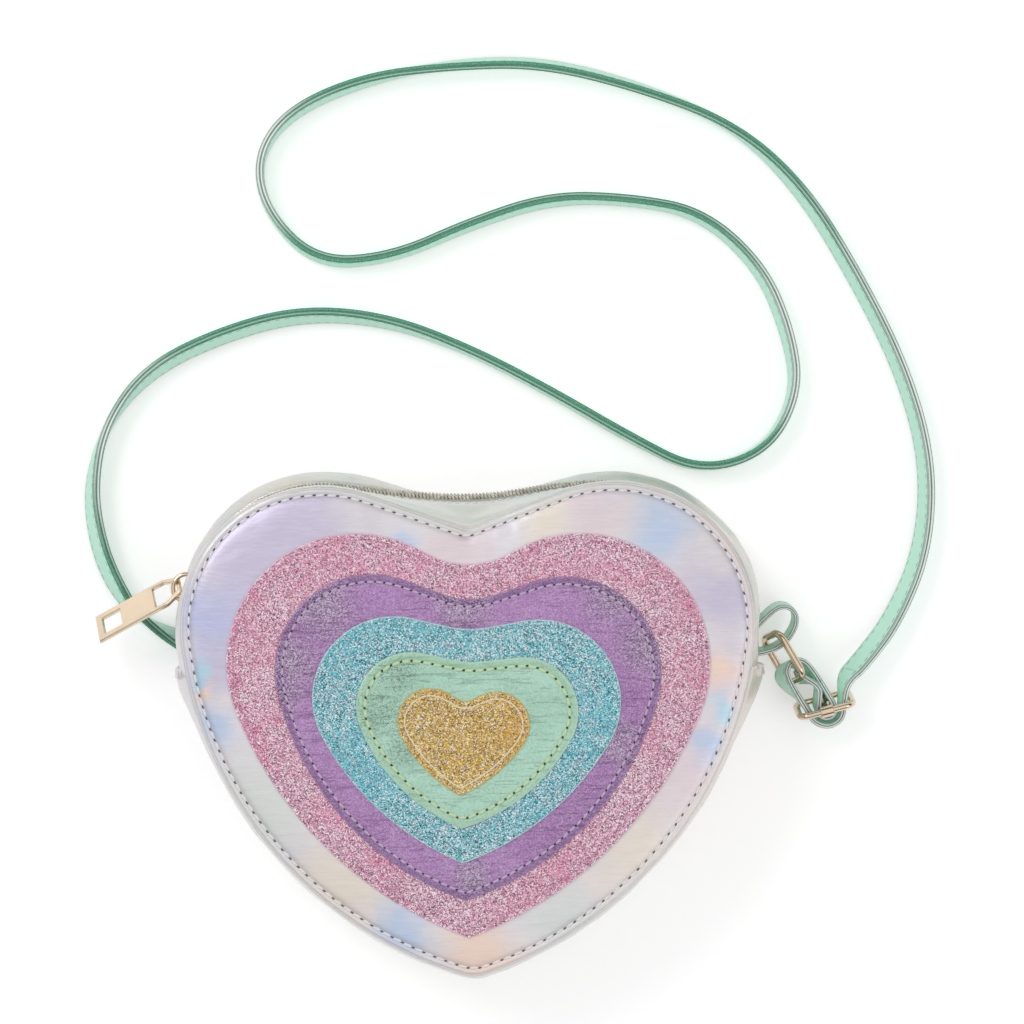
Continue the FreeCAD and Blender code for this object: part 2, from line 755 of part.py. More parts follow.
def make_ring():
    ring = wire_link("strap_ring", size("ring_length"), size("ring_width"),
                     size("ring_corner"), size("ring_wire"))
    middle = FreeCAD.Placement(FreeCAD.Vector(SIZES["ring_length"] / 2, 0, 0), FreeCAD.Rotation())
    ring.Placement = hardware_frame().multiply(middle)


def loop_frame():
    """The middle of the sewn loop, which leans along the ring."""
    place = ring_place(SIZES["loop_height"])
    bearing = FreeCAD.Rotation(Z_AXIS, SIZES["ring_bearing"])
    lean = FreeCAD.Rotation(FreeCAD.Vector(0, 1, 0), SIZES["loop_lean"])
    return FreeCAD.Placement(place, bearing.multiply(lean))


def adjuster_place():
    """The middle of the adjuster: +Y along its frame, +Z along its bar, +X away from the ring."""
    reach = FreeCAD.Vector(SIZES["adjuster_reach"], SIZES["adjuster_side"], 0)
    middle = hardware_frame().multVec(reach)
    place = FreeCAD.Vector(middle.x, middle.y, SIZES["adjuster_height"])
    bearing = FreeCAD.Rotation(Z_AXIS, SIZES["ring_bearing"] + SIZES["adjuster_turn"])
    lean = FreeCAD.Rotation(FreeCAD.Vector(0, 1, 0), SIZES["adjuster_lean"])
    return FreeCAD.Placement(place, bearing.multiply(lean))


def make_adjuster():
    link = wire_link("adjuster_frame", size("adjuster_length"), size("adjuster_width"),
                     size("adjuster_corner"), size("adjuster_wire"))
    along = FreeCAD.Placement(FreeCAD.Vector(), FreeCAD.Rotation(Z_AXIS, 90))
    link.Placement = adjuster_place().multiply(along)
    bore = size("adjuster_wire") / 2 + size("knuckle_clear")
    outer = bore + size("knuckle_wall")
    length = size("knuckle_length")
    half = size("adjuster_width") / 2
    pieces = []
    bar = doc.addObject("Part::Cylinder", "adjuster_bar_rod")
    bar.setExpression("Radius", (size("bar_wire") / 2).text)
    bar.setExpression("Height", size("adjuster_width").text)
    move(bar, z=-half)
    pieces.append(bar)
    bores = []
    for end, height in (("top", half), ("bottom", -half)):
        for part, radius, shapes in (("knuckle", outer, pieces), ("bore", bore, bores)):
            tube = doc.addObject("Part::Cylinder", "adjuster_%s_%s" % (end, part))
            tube.setExpression("Radius", radius.text)
            tube.setExpression("Height", length.text)
            tube.Placement = FreeCAD.Placement(
                FreeCAD.Vector(), FreeCAD.Rotation(FreeCAD.Vector(0, 1, 0), 90))
            move(tube, x=-(length / 2), z=height)
            shapes.append(tube)
    solid = doc.addObject("Part::MultiFuse", "adjuster_bar_solid")
    solid.Shapes = pieces
    holes = doc.addObject("Part::MultiFuse", "adjuster_bar_bores")
    holes.Shapes = bores
    cut = doc.addObject("Part::Cut", "adjuster_bar")
    cut.Base = solid
    cut.Tool = holes
    cut.Placement = adjuster_place().multiply(along)
    node("adjuster_bar", cut)


def rounded_route(name, route, height):
    """Straight runs joined by tangent arcs, each as large as its two runs allow."""
    unit = SIZES["route_unit"]
    points = [FreeCAD.Vector(x * unit, y * unit, height) for x, y in route]
    edges = []
    radii = []
    start = points[0]
    for before, point, after in zip(points, points[1:], points[2:]):
        back = (before - point).normalize()
        onward = (after - point).normalize()
        run = min(before.distanceToPoint(point), after.distanceToPoint(point))
        reach = run * BEND_SHARE
        half_turn = (math.pi - back.getAngle(onward)) / 2
        radii.append(reach / math.tan(half_turn))
        first = point + back * reach
        last = point + onward * reach
        inward = (back + onward).normalize()
        depth = reach * math.tan(half_turn) / (1 + 1 / math.cos(half_turn))
        middle = point + inward * depth
        edges.append(Part.LineSegment(start, first).toShape())
        edges.append(Part.Arc(first, middle, last).toShape())
        start = last
    edges.append(Part.LineSegment(start, points[-1]).toShape())
    print(name, "bend radii", [round(radius, 1) for radius in radii])
    return Part.Wire(edges)


def block(place, low, high):
    """A block between two corners given in a frame, to trim strips on one common face."""
    corner = FreeCAD.Vector(*low)
    solid = Part.makeBox(high[0] - low[0], high[1] - low[1], high[2] - low[2], corner)
    solid.Placement = place.multiply(solid.Placement)
    return solid


def make_strip(name, route, width, thick, bottom, place=FreeCAD.Placement(), trims=()):
    """A flat strip standing on its edge along a route, less the blocks that trim its ends."""
    path = rounded_route(name, route, bottom.value + width.value / 2)
    first = path.Edges[0]
    start = first.valueAt(first.FirstParameter)
    along = first.tangentAt(first.FirstParameter)
    across = along.cross(Z_AXIS) * (thick.value / 2)
    up = Z_AXIS * (width.value / 2)
    corners = [start + across + up, start - across + up, start - across - up, start + across - up]
    section = Part.makePolygon(corners + corners[:1])
    solid = path.makePipeShell([section], True, False)
    volume = width.value * thick.value * path.Length
    print(name, "length %.1f volume share %.4f" % (path.Length, solid.Volume / volume))
    solid.Placement = place
    for trim in trims:
        solid = solid.cut(trim)
    strip = doc.addObject("Part::Feature", name)
    strip.Shape = solid
    return node(name, strip)


def strap_route():
    """The long strap's whole route, from the left side seam to the adjuster, in route units."""
    unit = SIZES["route_unit"]
    root = -(SIZES["panel_width"] / 2 + SIZES["strap_root"])
    start = (root / unit, (SIZES["seam_height"] + SIZES["strap_above_seam"]) / unit)
    bar = ring_place(0)
    landing = [(bar.x / unit + x, bar.y / unit + y) for x, y in STRAP_LANDING]
    return [start] + STRAP_ROUTE + landing


def make_strap():
    width = size("strap_width")
    ply = size("ply_thick")
    low = -(width / 2)
    loop_width = size("loop_width")
    loop_low = -(loop_width / 2)
    reach = SIZES["overrun"]
    meet = SIZES["ply_meet"]
    lead = -SIZES["lead_meet"]
    ring_side = block(hardware_frame(), (meet - reach, -reach, -reach), (meet, reach, reach))
    far_side = block(hardware_frame(), (meet, -reach, -reach), (meet + reach, reach, reach))
    lead_side = block(adjuster_place(), (lead - reach, 0, -reach), (lead, reach, reach))
    wrap_side = block(adjuster_place(), (lead, -reach, -reach), (lead + reach, reach, reach))
    make_strip("shoulder_strap", strap_route(), width, size("strap_thick"), size("strap_floor"),
               trims=[wrap_side])
    make_strip("side_loop", LOOP_ROUTE, loop_width, size("loop_thick"), loop_low, loop_frame())
    make_strip("strap_turn", TURN_ROUTE, width, ply, low, hardware_frame(), [far_side])
    make_strip("strap_sewn_end", END_ROUTE, width, ply, low, adjuster_place(), [ring_side])
    make_strip("strap_wrap", WRAP_ROUTE, width, ply, low, adjuster_place(), [ring_side, lead_side])


def check_and_write():
    doc.recompute()
    for item in doc.Objects:
        if "Invalid" in item.State or "Error" in item.State:
            raise RuntimeError("%s failed: %s" % (item.Name, item.State))
    for name, item in NODES.items():
        if item.Shape.isNull() or not item.Shape.isValid():
            raise RuntimeError("%s has no valid shape" % name)
    os.makedirs("parts", exist_ok=True)
    for name, item in NODES.items():
        item.Shape.exportStep("parts/%s.step" % name)
        box = item.Shape.BoundBox
        print("%-18s solids %d volume %9.1f  x %7.1f %7.1f  y %7.1f %7.1f  z %6.1f %6.1f" % (
            name, len(item.Shape.Solids), item.Shape.Volume,
            box.XMin, box.XMax, box.YMin, box.YMax, box.ZMin, box.ZMax))


make_panels()
make_layers()
make_gussets()
make_lining()
make_zip_chain()
make_zip_stops()
make_slider()
make_pull()
make_ring()
make_adjuster()
make_strap()
check_and_write()
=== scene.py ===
"""Looks of the heart shaped purse: foil panels, sewn heart layers, zip and mint strap over the CAD frame."""

import math

import bmesh
import bpy
from bpy.props import FloatProperty, FloatVectorProperty, PointerProperty
from mathutils import Matrix, Vector, kdtree, noise


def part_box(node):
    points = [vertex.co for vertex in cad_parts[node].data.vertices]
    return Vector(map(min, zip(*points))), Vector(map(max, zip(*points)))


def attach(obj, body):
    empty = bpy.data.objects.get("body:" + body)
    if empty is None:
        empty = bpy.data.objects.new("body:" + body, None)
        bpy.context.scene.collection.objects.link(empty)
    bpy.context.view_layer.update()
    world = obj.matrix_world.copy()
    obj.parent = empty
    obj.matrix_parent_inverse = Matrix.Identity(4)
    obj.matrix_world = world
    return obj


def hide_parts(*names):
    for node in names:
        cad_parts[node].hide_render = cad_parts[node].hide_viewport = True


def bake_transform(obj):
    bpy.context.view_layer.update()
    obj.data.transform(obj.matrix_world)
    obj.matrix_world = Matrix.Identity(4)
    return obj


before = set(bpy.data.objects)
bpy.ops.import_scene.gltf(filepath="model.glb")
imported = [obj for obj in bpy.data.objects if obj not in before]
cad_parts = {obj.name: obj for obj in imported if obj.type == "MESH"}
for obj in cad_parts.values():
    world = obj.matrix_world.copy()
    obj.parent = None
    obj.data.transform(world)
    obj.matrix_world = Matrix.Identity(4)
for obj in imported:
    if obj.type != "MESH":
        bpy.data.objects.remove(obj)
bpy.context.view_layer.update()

bl_info = {
    "name": "Heart shaped purse",
    "version": (1, 0, 0),
    "blender": (4, 5, 0),
    "location": "View3D > Sidebar > Purse",
    "description": "Dresses the CAD purse with foil, glitter, leather, zip, stitching and strap",
    "category": "Add Mesh",
}

MM = 0.001
UP = Vector((0, 0, 1))


def paint(red, green, blue):
    """A colour as a paint chart gives it, 0 to 255, turned into the linear numbers that shaders use."""
    return tuple(
        (c / 255 / 12.92) if c / 255 <= 0.04045 else ((c / 255 + 0.055) / 1.055) ** 2.4
        for c in (red, green, blue)
    )


def size(name, description, millimetres):
    return FloatProperty(
        name=name, description=description, default=millimetres * MM, subtype="DISTANCE", unit="LENGTH"
    )


def colour(name, description, red, green, blue):
    tint = paint(red, green, blue)
    return FloatVectorProperty(
        name=name, description=description, default=tint, subtype="COLOR", size=3, min=0, max=1
    )


class PurseSizes(bpy.types.PropertyGroup):
    """Sizes of the sewn details, which the CAD leaves plain."""

    panel_crown: size("Panel crown", "How far the foam lifts the middle of the front panel", 1.9)
    seam_roll: size("Seam roll", "Height of the rolled edge of a panel at its seam", 0.7)
    edge_row: size("Edge row", "From a panel's edge to its row of stitches", 2.4)
    stitch_pitch: size("Stitch pitch", "From needle hole to needle hole", 3.65)
    thread: size("Thread", "Thickness of the sewing thread", 0.9)
    layer: size("Layer", "Thickness of a sewn heart layer", 0.75)
    layer_row: size("Layer row", "From a heart layer's edge to its row of stitches", 2.2)
    ripple: size("Ripple", "Depth of the soft wrinkles in the gusset", 0.55)
    tooth_pitch: size("Tooth pitch", "From tooth to tooth along the zip", 1.15)
    strap_width: size("Strap width", "Width of the folded strap", 9.0)
    strap_thickness: size("Strap thickness", "Thickness of the folded strap", 2.7)
    ply: size("Ply", "Thickness of the strap where it goes round the metal", 1.9)
    loop_width: size("Loop width", "Width of the sewn side loop", 8.2)
    loop_ply: size("Loop ply", "Thickness of the sewn side loop", 1.5)


class PurseColours(bpy.types.PropertyGroup):
    """Colours of the purse's materials."""

    silver: colour("Silver foil", "Foil of the panels where it shows no rainbow", 222, 216, 220)
    gusset: colour("Gusset foil", "Foil of the gusset", 226, 224, 218)
    pink: colour("Pink glitter", "Outermost heart layer", 230, 156, 190)
    purple: colour("Purple leather", "Second heart layer", 184, 132, 196)
    turquoise: colour("Turquoise glitter", "Third heart layer", 62, 190, 204)
    mint: colour("Mint leather", "Fourth heart layer", 190, 236, 214)
    gold: colour("Gold glitter", "Innermost heart layer", 216, 172, 40)
    strap_face: colour("Strap face", "Flat of the strap", 204, 255, 233)
    strap_edge: colour("Strap edge", "Folded edge of the strap", 78, 166, 130)
    metal: colour("Pale gold metal", "Slider, pull, ring and adjuster", 228, 208, 182)
    coil: colour("Zip coil", "Nylon teeth of the zip", 232, 226, 208)
    tape: colour("Zip tape", "Woven tape of the zip", 206, 205, 194)
    lining: colour("Lining", "Cloth inside the purse", 214, 208, 216)
    foam: colour("Foam", "Boards behind the panels", 236, 232, 220)


def sizes():
    return bpy.context.scene.purse_sizes


def colours():
    return bpy.context.scene.purse_colours


# Shader maths


def maths(operation, swapped=False):
    """A method that makes one maths node from the socket and what follows it, or the other way round."""

    def method(self, *others):
        values = (*others, self) if swapped else (self, *others)
        return self.finish.node("ShaderNodeMath", {"operation": operation}, dict(enumerate(values)))

    return method


class Socket:
    """One output of a node, with Python's own signs for adding, multiplying and comparing."""

    def __init__(self, finish, output):
        self.finish = finish
        self.output = output

    __add__ = maths("ADD")
    __radd__ = maths("ADD", swapped=True)
    __sub__ = maths("SUBTRACT")
    __rsub__ = maths("SUBTRACT", swapped=True)
    __mul__ = maths("MULTIPLY")
    __rmul__ = maths("MULTIPLY", swapped=True)
    __truediv__ = maths("DIVIDE")
    __mod__ = maths("FLOORED_MODULO")
    __lt__ = maths("LESS_THAN")
    __gt__ = maths("GREATER_THAN")
    __abs__ = maths("ABSOLUTE")
    most = maths("MAXIMUM")
    sine = maths("SINE")

    def ramp(self, low, high):
        """0 below low, 1 above high, smooth between."""
        values = {"Value": self, "From Min": low, "From Max": high}
        return self.finish.node("ShaderNodeMapRange", {"interpolation_type": "SMOOTHSTEP"}, values)


class Finish:
    """A procedural material, or the world's light, built from sockets."""

    def __init__(self, name, world=False):
        self.material = (bpy.data.worlds if world else bpy.data.materials).new(name)
        self.material.use_nodes = True
        self.tree = self.material.node_tree
        self.tree.nodes.clear()
        self.place = self.node("ShaderNodeTexCoord", output="Object")

    def node(self, kind, settings=None, values=None, output=0):
        made = self.tree.nodes.new(kind)
        for name, value in (settings or {}).items():
            if name == "stops":
                band = made.color_ramp.elements
                while len(band) < len(value):
                    band.new(1.0)
                for stop, (position, tint) in zip(band, value):
                    stop.position = position
                    stop.color = (*tint, 1.0)
            else:
                setattr(made, name, value)
        for name, value in (values or {}).items():
            socket = made.inputs[name]
            if isinstance(value, Socket):
                self.tree.links.new(value.output, socket)
            elif socket.type == "RGBA" and len(value) == 3:
                socket.default_value = (*value, 1.0)
            else:
                socket.default_value = value
        return Socket(self, made.outputs[output])

    def mix(self, share, first, second):
        settings = {"data_type": "RGBA", "blend_type": "MIX", "clamp_factor": True}
        return self.node("ShaderNodeMix", settings, {0: share, 6: first, 7: second}, output=2)

    def tint(self, shade, stops):
        return self.node("ShaderNodeValToRGB", {"stops": stops}, {0: shade})

    def vector(self, operation, *values, output=0):
        return self.node("ShaderNodeVectorMath", {"operation": operation}, dict(enumerate(values)), output)

    def part(self, vector, axis):
        return self.node("ShaderNodeSeparateXYZ", {}, {0: vector}, output=axis)

    def join(self, *parts):
        return self.node("ShaderNodeCombineXYZ", {}, dict(enumerate(parts)))

    def away(self, place, right, up):
        """How far a place is from a spot, seen from above."""
        flat = self.vector("MULTIPLY", place, (1, 1, 0))
        return self.vector("DISTANCE", flat, (right, up, 0), output="Value")

    def cloud(self, scale, detail=3.0, roughness=0.5, distortion=0.0, place=None, output=0):
        values = {"Scale": scale, "Detail": detail, "Roughness": roughness, "Distortion": distortion}
        return self.node("ShaderNodeTexNoise", {}, {"Vector": place or self.place, **values}, output)

    def streaks(self, scale, turn=0.0, **shape):
        """A cloud drawn out one way: its scale along each axis and its turn in degrees."""
        values = {"Vector": self.place, "Scale": scale, "Rotation": (0, 0, math.radians(turn))}
        return self.cloud(1, place=self.node("ShaderNodeMapping", {}, values), **shape)

    def flakes(self, scale, output="Color"):
        values = {"Vector": self.place, "Scale": scale}
        return self.node("ShaderNodeTexVoronoi", {"feature": "F1"}, values, output)

    def own(self, name):
        """A value that the piece carries on its own points."""
        return self.node("ShaderNodeAttribute", {"attribute_name": name}, output="Fac")

    def bump(self, height, depth, strength=1.0, normal=None):
        values = {"Height": height, "Distance": depth, "Strength": strength}
        if normal:
            values["Normal"] = normal
        return self.node("ShaderNodeBump", {}, values, output="Normal")

    def seen(self):
        """1 where the camera, a mirror or glass looks, 0 where light only spreads."""
        rays = ("Is Camera Ray", "Is Glossy Ray", "Is Transmission Ray")
        camera, mirror, glass = (self.node("ShaderNodeLightPath", output=ray) for ray in rays)
        return camera.most(mirror).most(glass)

    def done(self, **values):
        """The surface itself; names such as Base_Color stand for the shader's sockets."""
        values = {name.replace("_", " "): value for name, value in values.items()}
        return self.put_out(self.node("ShaderNodeBsdfPrincipled", {}, values), "ShaderNodeOutputMaterial")

    def put_out(self, shader, kind):
        end = self.tree.nodes.new(kind)
        self.tree.links.new(shader.output, end.inputs["Surface"])
        return self.material


def paler(tint, share):
    return tuple(c + (1 - c) * share for c in tint)


def darker(tint, share):
    return tuple(c * (1 - share) for c in tint)


# Finishes

# The foil's tints, and the places on the front panel where each one shows: right, up and reach in mm.
LILAC = (200, 192, 217)
PERIWINKLE = (184, 188, 226)
SKY = (188, 206, 234)
AQUA = (178, 216, 234)
CREAM = (232, 221, 208)
PEACH = (243, 215, 198)
ROSE = (226, 210, 216)
SILVER = (218, 223, 219)
RAINBOW = (
    ("left shoulder", -54, 65, 25, LILAC),
    ("left lobe", -71, 53, 22, LILAC),
    ("left side", -80, 35, 16, PERIWINKLE),
    ("below the left side", -78, 23, 11, LILAC),
    ("glint, left side", -84, 21, 5, AQUA),
    ("warm glint, left side", -80.5, 16, 4, PEACH),
    ("left flank", -79, 3, 9, SKY),
    ("lower left", -62, -20, 20, SILVER),
    ("left of the tip", -40, -46, 20, CREAM),
    ("near the tip", -22, -62, 11, SKY),
    ("tip", 1, -70, 16, PEACH),
    ("right of the tip", 29, -58, 13, SILVER),
    ("lower right", 54, -38, 19, CREAM),
    ("right flank", 70, -15, 18, ROSE),
    ("right side", 81, 15, 14, ROSE),
    ("warm glint, right side", 78, 16, 7, PEACH),
    ("glint, right flank", 82, 3, 6, AQUA),
    ("below the right flank", 75, -8, 7, SKY),
    ("above the right side", 79, 40, 15, LILAC),
    ("right lobe", 60, 61, 14, SKY),
    ("right shoulder", 38, 66, 13, ROSE),
    ("right of the notch", 22, 64, 11, CREAM),
    ("notch", -2, 55, 13, ROSE),
    ("left of the notch", -20, 60, 8, SKY),
)
# How wide the stir is that breaks up the edges of the tints, and glitter flakes along a metre.
WANDER = 22 * MM
FLAKES = 3300


def foil_finish(name, ground, rainbow=(), back=False):
    """Soft foil leather: pale, glossy, with a slow rainbow, fine lines across it and small creases."""
    f = Finish(name)
    drift = f.cloud(26, detail=3, distortion=0.6)
    tone = f.mix(drift.ramp(0.35, 0.7), ground, paler(ground, 0.22))
    hint = f.streaks((24, 40, 24) if rainbow else (38, 52, 60), detail=3, distortion=1.4)
    east, north = f.part(f.place, 0), f.part(f.place, 1)
    if rainbow:
        cool, warm, much = paint(222, 222, 234), paint(240, 230, 222), 0.55
    else:
        cool, warm, much = paint(196, 216, 212), paint(240, 226, 208), 0.2 + 0.45 * north.ramp(0.03, 0.055)
        tone = f.mix(east.ramp(0.045, 0.085) * 0.85, tone, paint(234, 221, 213))
        tone = f.mix((-1 * east).ramp(0.06, 0.088) * 0.8, tone, paint(226, 221, 226))
    tone = f.mix(hint.ramp(0.5, 0.68) * much, tone, cool)
    tone = f.mix((1 - hint).ramp(0.52, 0.72) * much, tone, warm)
    stir = f.cloud(55, detail=4, output="Color")
    wander = f.vector("MULTIPLY_ADD", stir, (WANDER, WANDER, 0), f.place)
    for _, right, up, reach, tint in rainbow:
        right = -right if back else right
        away = f.away(wander, right * MM + WANDER / 2, up * MM + WANDER / 2)
        tone = f.mix((1 - away / (reach * MM)).ramp(-0.25, 0.85) * 0.9, tone, paint(*tint))
    if rainbow:
        side = east.ramp(0.03, 0.08)
        rim = f.mix(side, paint(216, 217, 210), paint(230, 218, 212))
        tone = f.mix(f.own("rim") * (0.1 + 0.65 * north.ramp(0.042, 0.06).most(side)), tone, rim)
        # Painted highlight: a white line along the panel's rolled edge.
        tone = f.mix(f.own("edge") * 0.7, tone, paint(248, 246, 248))
    hair = f.streaks((130, 1500, 400), 3, detail=3, roughness=0.6, distortion=1.1)
    tone = f.mix(hair.ramp(0.4, 0.7) * 0.12, tone, paint(252, 250, 252))
    tone = f.mix((1 - hair).ramp(0.5, 0.75) * 0.08, tone, paint(176, 172, 184))
    crease = f.streaks((55, 130, 80), -28, detail=5, roughness=0.62, distortion=0.8)
    fine = f.cloud(900, detail=3)
    slack = f.cloud(42, detail=2, distortion=0.5)
    return f.done(
        Base_Color=tone, Roughness=0.28 + drift * 0.16, Metallic=0.30 + hair * 0.10,
        Normal=f.bump(slack, 0.0016, 0.4, f.bump(crease + fine * 0.12, 0.0005, 0.45)),
        Coat_Weight=0.2, Coat_Roughness=0.2,
    )


def glitter_finish(name, ground, strong, bright, speck, cut):
    """Cloth covered with fine glitter: flakes of a third of a millimetre, each tilted its own way, some with
    painted shade or sparkle.
    """
    f = Finish(name)
    flake = f.flakes(FLAKES)
    chance, second = f.part(flake, 0), f.part(flake, 1)
    patch = f.cloud(48, detail=4, roughness=0.6)
    # Flake tones: the darkest stops are painted shade on single flakes, the near-white top stop a painted
    # sparkle, the stops between the glitter's own colours.
    tone = f.tint(chance, [
        (0.0, darker(ground, 0.85)), (0.17, darker(ground, 0.6)), (0.3, darker(ground, 0.08)),
        (0.52, paler(ground, 0.1)), (0.74, bright), (0.9, paler(bright, 0.85)),
    ])
    tone = f.mix((second > 0.82) * 0.8, tone, speck)
    tone = f.mix(patch.ramp(0.42, 0.68) * (second < 0.42) * 0.7, tone, strong)
    tone = f.mix(f.own("edge") * 0.75, tone, cut)
    lean = f.vector("SUBTRACT", flake, (0.5, 0.5, 0.5))
    facing = f.node("ShaderNodeNewGeometry", output="Normal")
    tilt = f.vector("NORMALIZE", f.vector("MULTIPLY_ADD", lean, (0.6, 0.6, 0.6), facing))
    return f.done(
        Base_Color=tone, Roughness=0.25 + second * 0.35, Metallic=0.25 + 0.4 * (second > 0.6),
        Normal=f.bump(f.flakes(FLAKES, "Distance"), 0.0002, 0.3, tilt),
    )


def creased_finish(name, ground, silver, rim, cut, coarse, crease_shade, painted_light_spots):
    """Thin metallic leather: fine grain, short creases with painted shade, and spots of painted light
    (silvery sheen on purple, shade on mint).
    """
    f = Finish(name)
    shade = f.cloud(30, detail=4, roughness=0.55, distortion=0.7)
    tone = f.mix(shade.ramp(0.3, 0.72), darker(ground, 0.2), paler(ground, 0.06))
    painted_light = f.cloud(60, detail=5, roughness=0.65).ramp(0.5, 0.85) * 0.25
    for _, right, up, reach in painted_light_spots:
        away = f.away(f.place, right * MM, up * MM)
        painted_light = painted_light.most((1 - away / (reach * MM) + (shade - 0.5) * 1.1).ramp(-0.3, 0.9))
    # Painted light: the purple turns silvery grey here, a painted sheen; the mint turns darker green, painted
    # shade.
    tone = f.mix(painted_light * 0.5, tone, silver)
    tone = f.mix(f.own("rim") * 0.75, tone, rim)
    grain = f.part(f.flakes(FLAKES), 0)
    depth = coarse + 0.45 * painted_light
    tone = f.mix((grain - 0.55).most(0) * 2.2 * depth, tone, paler(silver, 0.55))
    tone = f.mix((0.5 - grain).most(0) * 2.0 * depth, tone, darker(rim, 0.85))
    crease = f.streaks((60, 640, 200), -14, detail=4, roughness=0.62, distortion=1.8).ramp(0.57, 0.68)
    # Painted shade: the crease lines are darkened.
    tone = f.mix(crease * crease_shade, tone, darker(ground, 0.5))
    tone = f.mix(f.own("edge") * 0.6, tone, cut)
    return f.done(
        Base_Color=tone, Roughness=0.34 + shade * 0.2, Metallic=0.40 + painted_light * 0.2,
        Normal=f.bump(1 - crease, 0.0005, 0.45, f.bump(grain, 0.00012, 0.35)),
        Coat_Weight=0.12, Coat_Roughness=0.25,
    )


# Lines along the strap's edge: place across it, half width, colour and strength, plain and where it shines.
DEEP_GREEN, WHITE, PALE_EDGE = (4, 70, 46), (254, 255, 254), (228, 242, 236)
STRAP_STITCH = 3.2 * MM
# White lines are painted highlights on the tops of the two folded plies; the deep green middle line is their
# seam with painted shade in its groove; the other deep green lines are painted shade on the plies' flanks and
# at the edge's corners.
EDGE_LINES = (
    (0.40, 0.14, WHITE, 0.35, 0.95),
    (-0.40, 0.16, WHITE, 0.0, 0.95),
    (0.0, 0.16, DEEP_GREEN, 0.9, 0.85),
    (0.66, 0.06, DEEP_GREEN, 0.3, 0.6),
    (-0.66, 0.06, DEEP_GREEN, 0.1, 0.6),
    (0.92, 0.1, DEEP_GREEN, 0.55, 0.45),
    (-0.92, 0.1, DEEP_GREEN, 0.35, 0.4),
)


def strap_finish(name, face, edge, pale, stitch):
    """Folded strap: a pale flat with a stitch row by each edge; its edge of layers has painted highlight and
    shade lines.
    """
    f = Finish(name)
    along, rise, across, shine = (f.own(key) for key in ("along", "rise", "across", "shine"))
    strand = f.cloud(1, detail=3, place=f.join(along * 60, across * 2.2, rise * 1.5))
    weave = f.cloud(1, detail=2, place=f.join(along * 1700, across * 3, rise))
    glow = (shine + (strand - 0.5) * 0.7).ramp(0.2, 0.75)
    band = f.mix(glow * 0.8, edge, pale)
    band = f.mix((weave - 0.5).most(0) * 2.0, band, paler(edge, 0.5))
    band = f.mix((0.5 - weave).most(0) * 2.0, band, darker(edge, 0.7))
    # Draws the painted highlight and painted shade lines on the edge.
    for place, half, tint, plain, bright in EDGE_LINES:
        line = 1 - abs(across - place + (strand - 0.5) * 0.14).ramp(half * 0.6, half * 1.4)
        band = f.mix(line * (plain + (bright - plain) * glow), band, paint(*tint))
    soft = f.cloud(1, detail=4, roughness=0.6, place=f.join(along * 130, rise * 2.2, across))
    flat = f.mix(soft.ramp(0.42, 0.72) * 0.5, face, paler(face, 0.35))
    flat = f.mix((1 - soft).ramp(0.56, 0.76) * 0.4, flat, darker(face, 0.2))
    beat = (along / stitch) % 1
    dash = beat.ramp(0.10, 0.18) * (1 - beat.ramp(0.58, 0.66))
    row = (1 - abs(abs(rise) - 0.70).ramp(0.02, 0.065)) * dash
    flat = f.mix(row * 0.6, flat, darker(edge, 0.3))
    tone = f.mix(abs(rise).ramp(0.80, 0.94), flat, band)
    return f.done(
        Base_Color=tone, Roughness=0.36 + soft * 0.2, Coat_Weight=0.06, Coat_Roughness=0.25,
        Normal=f.bump(soft * 0.7 + strand * 0.3 - row * 0.6, 0.0007, 0.5),
    )


def metal_finish(name, ground):
    """Plated zinc in pale gold, polished, with a painted dark reflection at its edges, a faint brush and
    changing tone.
    """
    f = Finish(name)
    brush = f.streaks((260, 2600, 900), 28, detail=4, roughness=0.6)
    film = f.cloud(85, detail=3, distortion=0.6)
    tone = f.mix(film.ramp(0.35, 0.7), darker(ground, 0.1), ground)
    # Painted dark reflection along the metal's edges, found by ambient occlusion inside the metal.
    inside = {"inside": True, "only_local": True, "samples": 8}
    edge = f.node("ShaderNodeAmbientOcclusion", inside, {"Distance": 0.45 * MM}, "AO")
    tone = f.mix((1 - edge).ramp(0.25, 0.6) * 0.7, tone, darker(ground, 0.72))
    soft = f.node("ShaderNodeBevel", {"samples": 4}, {"Radius": 0.4 * MM})
    return f.done(
        Base_Color=tone, Metallic=1.0, Roughness=0.05 + brush * 0.05 + film * 0.05,
        Normal=f.bump(brush, 0.00003, 0.2, soft),
    )


def nylon_finish(name, ground):
    """Nylon monofilament, which is half clear: here a soft shine and a tone darker and paler at random."""
    f = Finish(name)
    shade = f.cloud(420, detail=2)
    tone = f.mix(shade.ramp(0.3, 0.7), darker(ground, 0.45), paler(ground, 0.12))
    return f.done(
        Base_Color=tone, Roughness=0.30 + shade * 0.2, Specular_IOR_Level=0.6,
        Normal=f.bump(shade, 0.0001, 0.3),
    )


def woven_finish(name, ground, threads):
    """Plain weave: sets of threads, each over and under the others."""
    f = Finish(name)
    east, north, rise = ((f.part(f.place, axis) * threads).sine() for axis in range(3))
    weave = (east * north + north * rise + east * rise) * 0.33 + 0.5
    worn = f.cloud(140, detail=4)
    tone = f.mix(weave.ramp(0.2, 0.8), darker(ground, 0.22), ground)
    tone = f.mix(worn.ramp(0.4, 0.75) * 0.3, tone, paler(ground, 0.2))
    return f.done(
        Base_Color=tone, Roughness=0.62 + worn * 0.25, Normal=f.bump(weave, 0.00018, 0.7), Sheen_Weight=0.2
    )


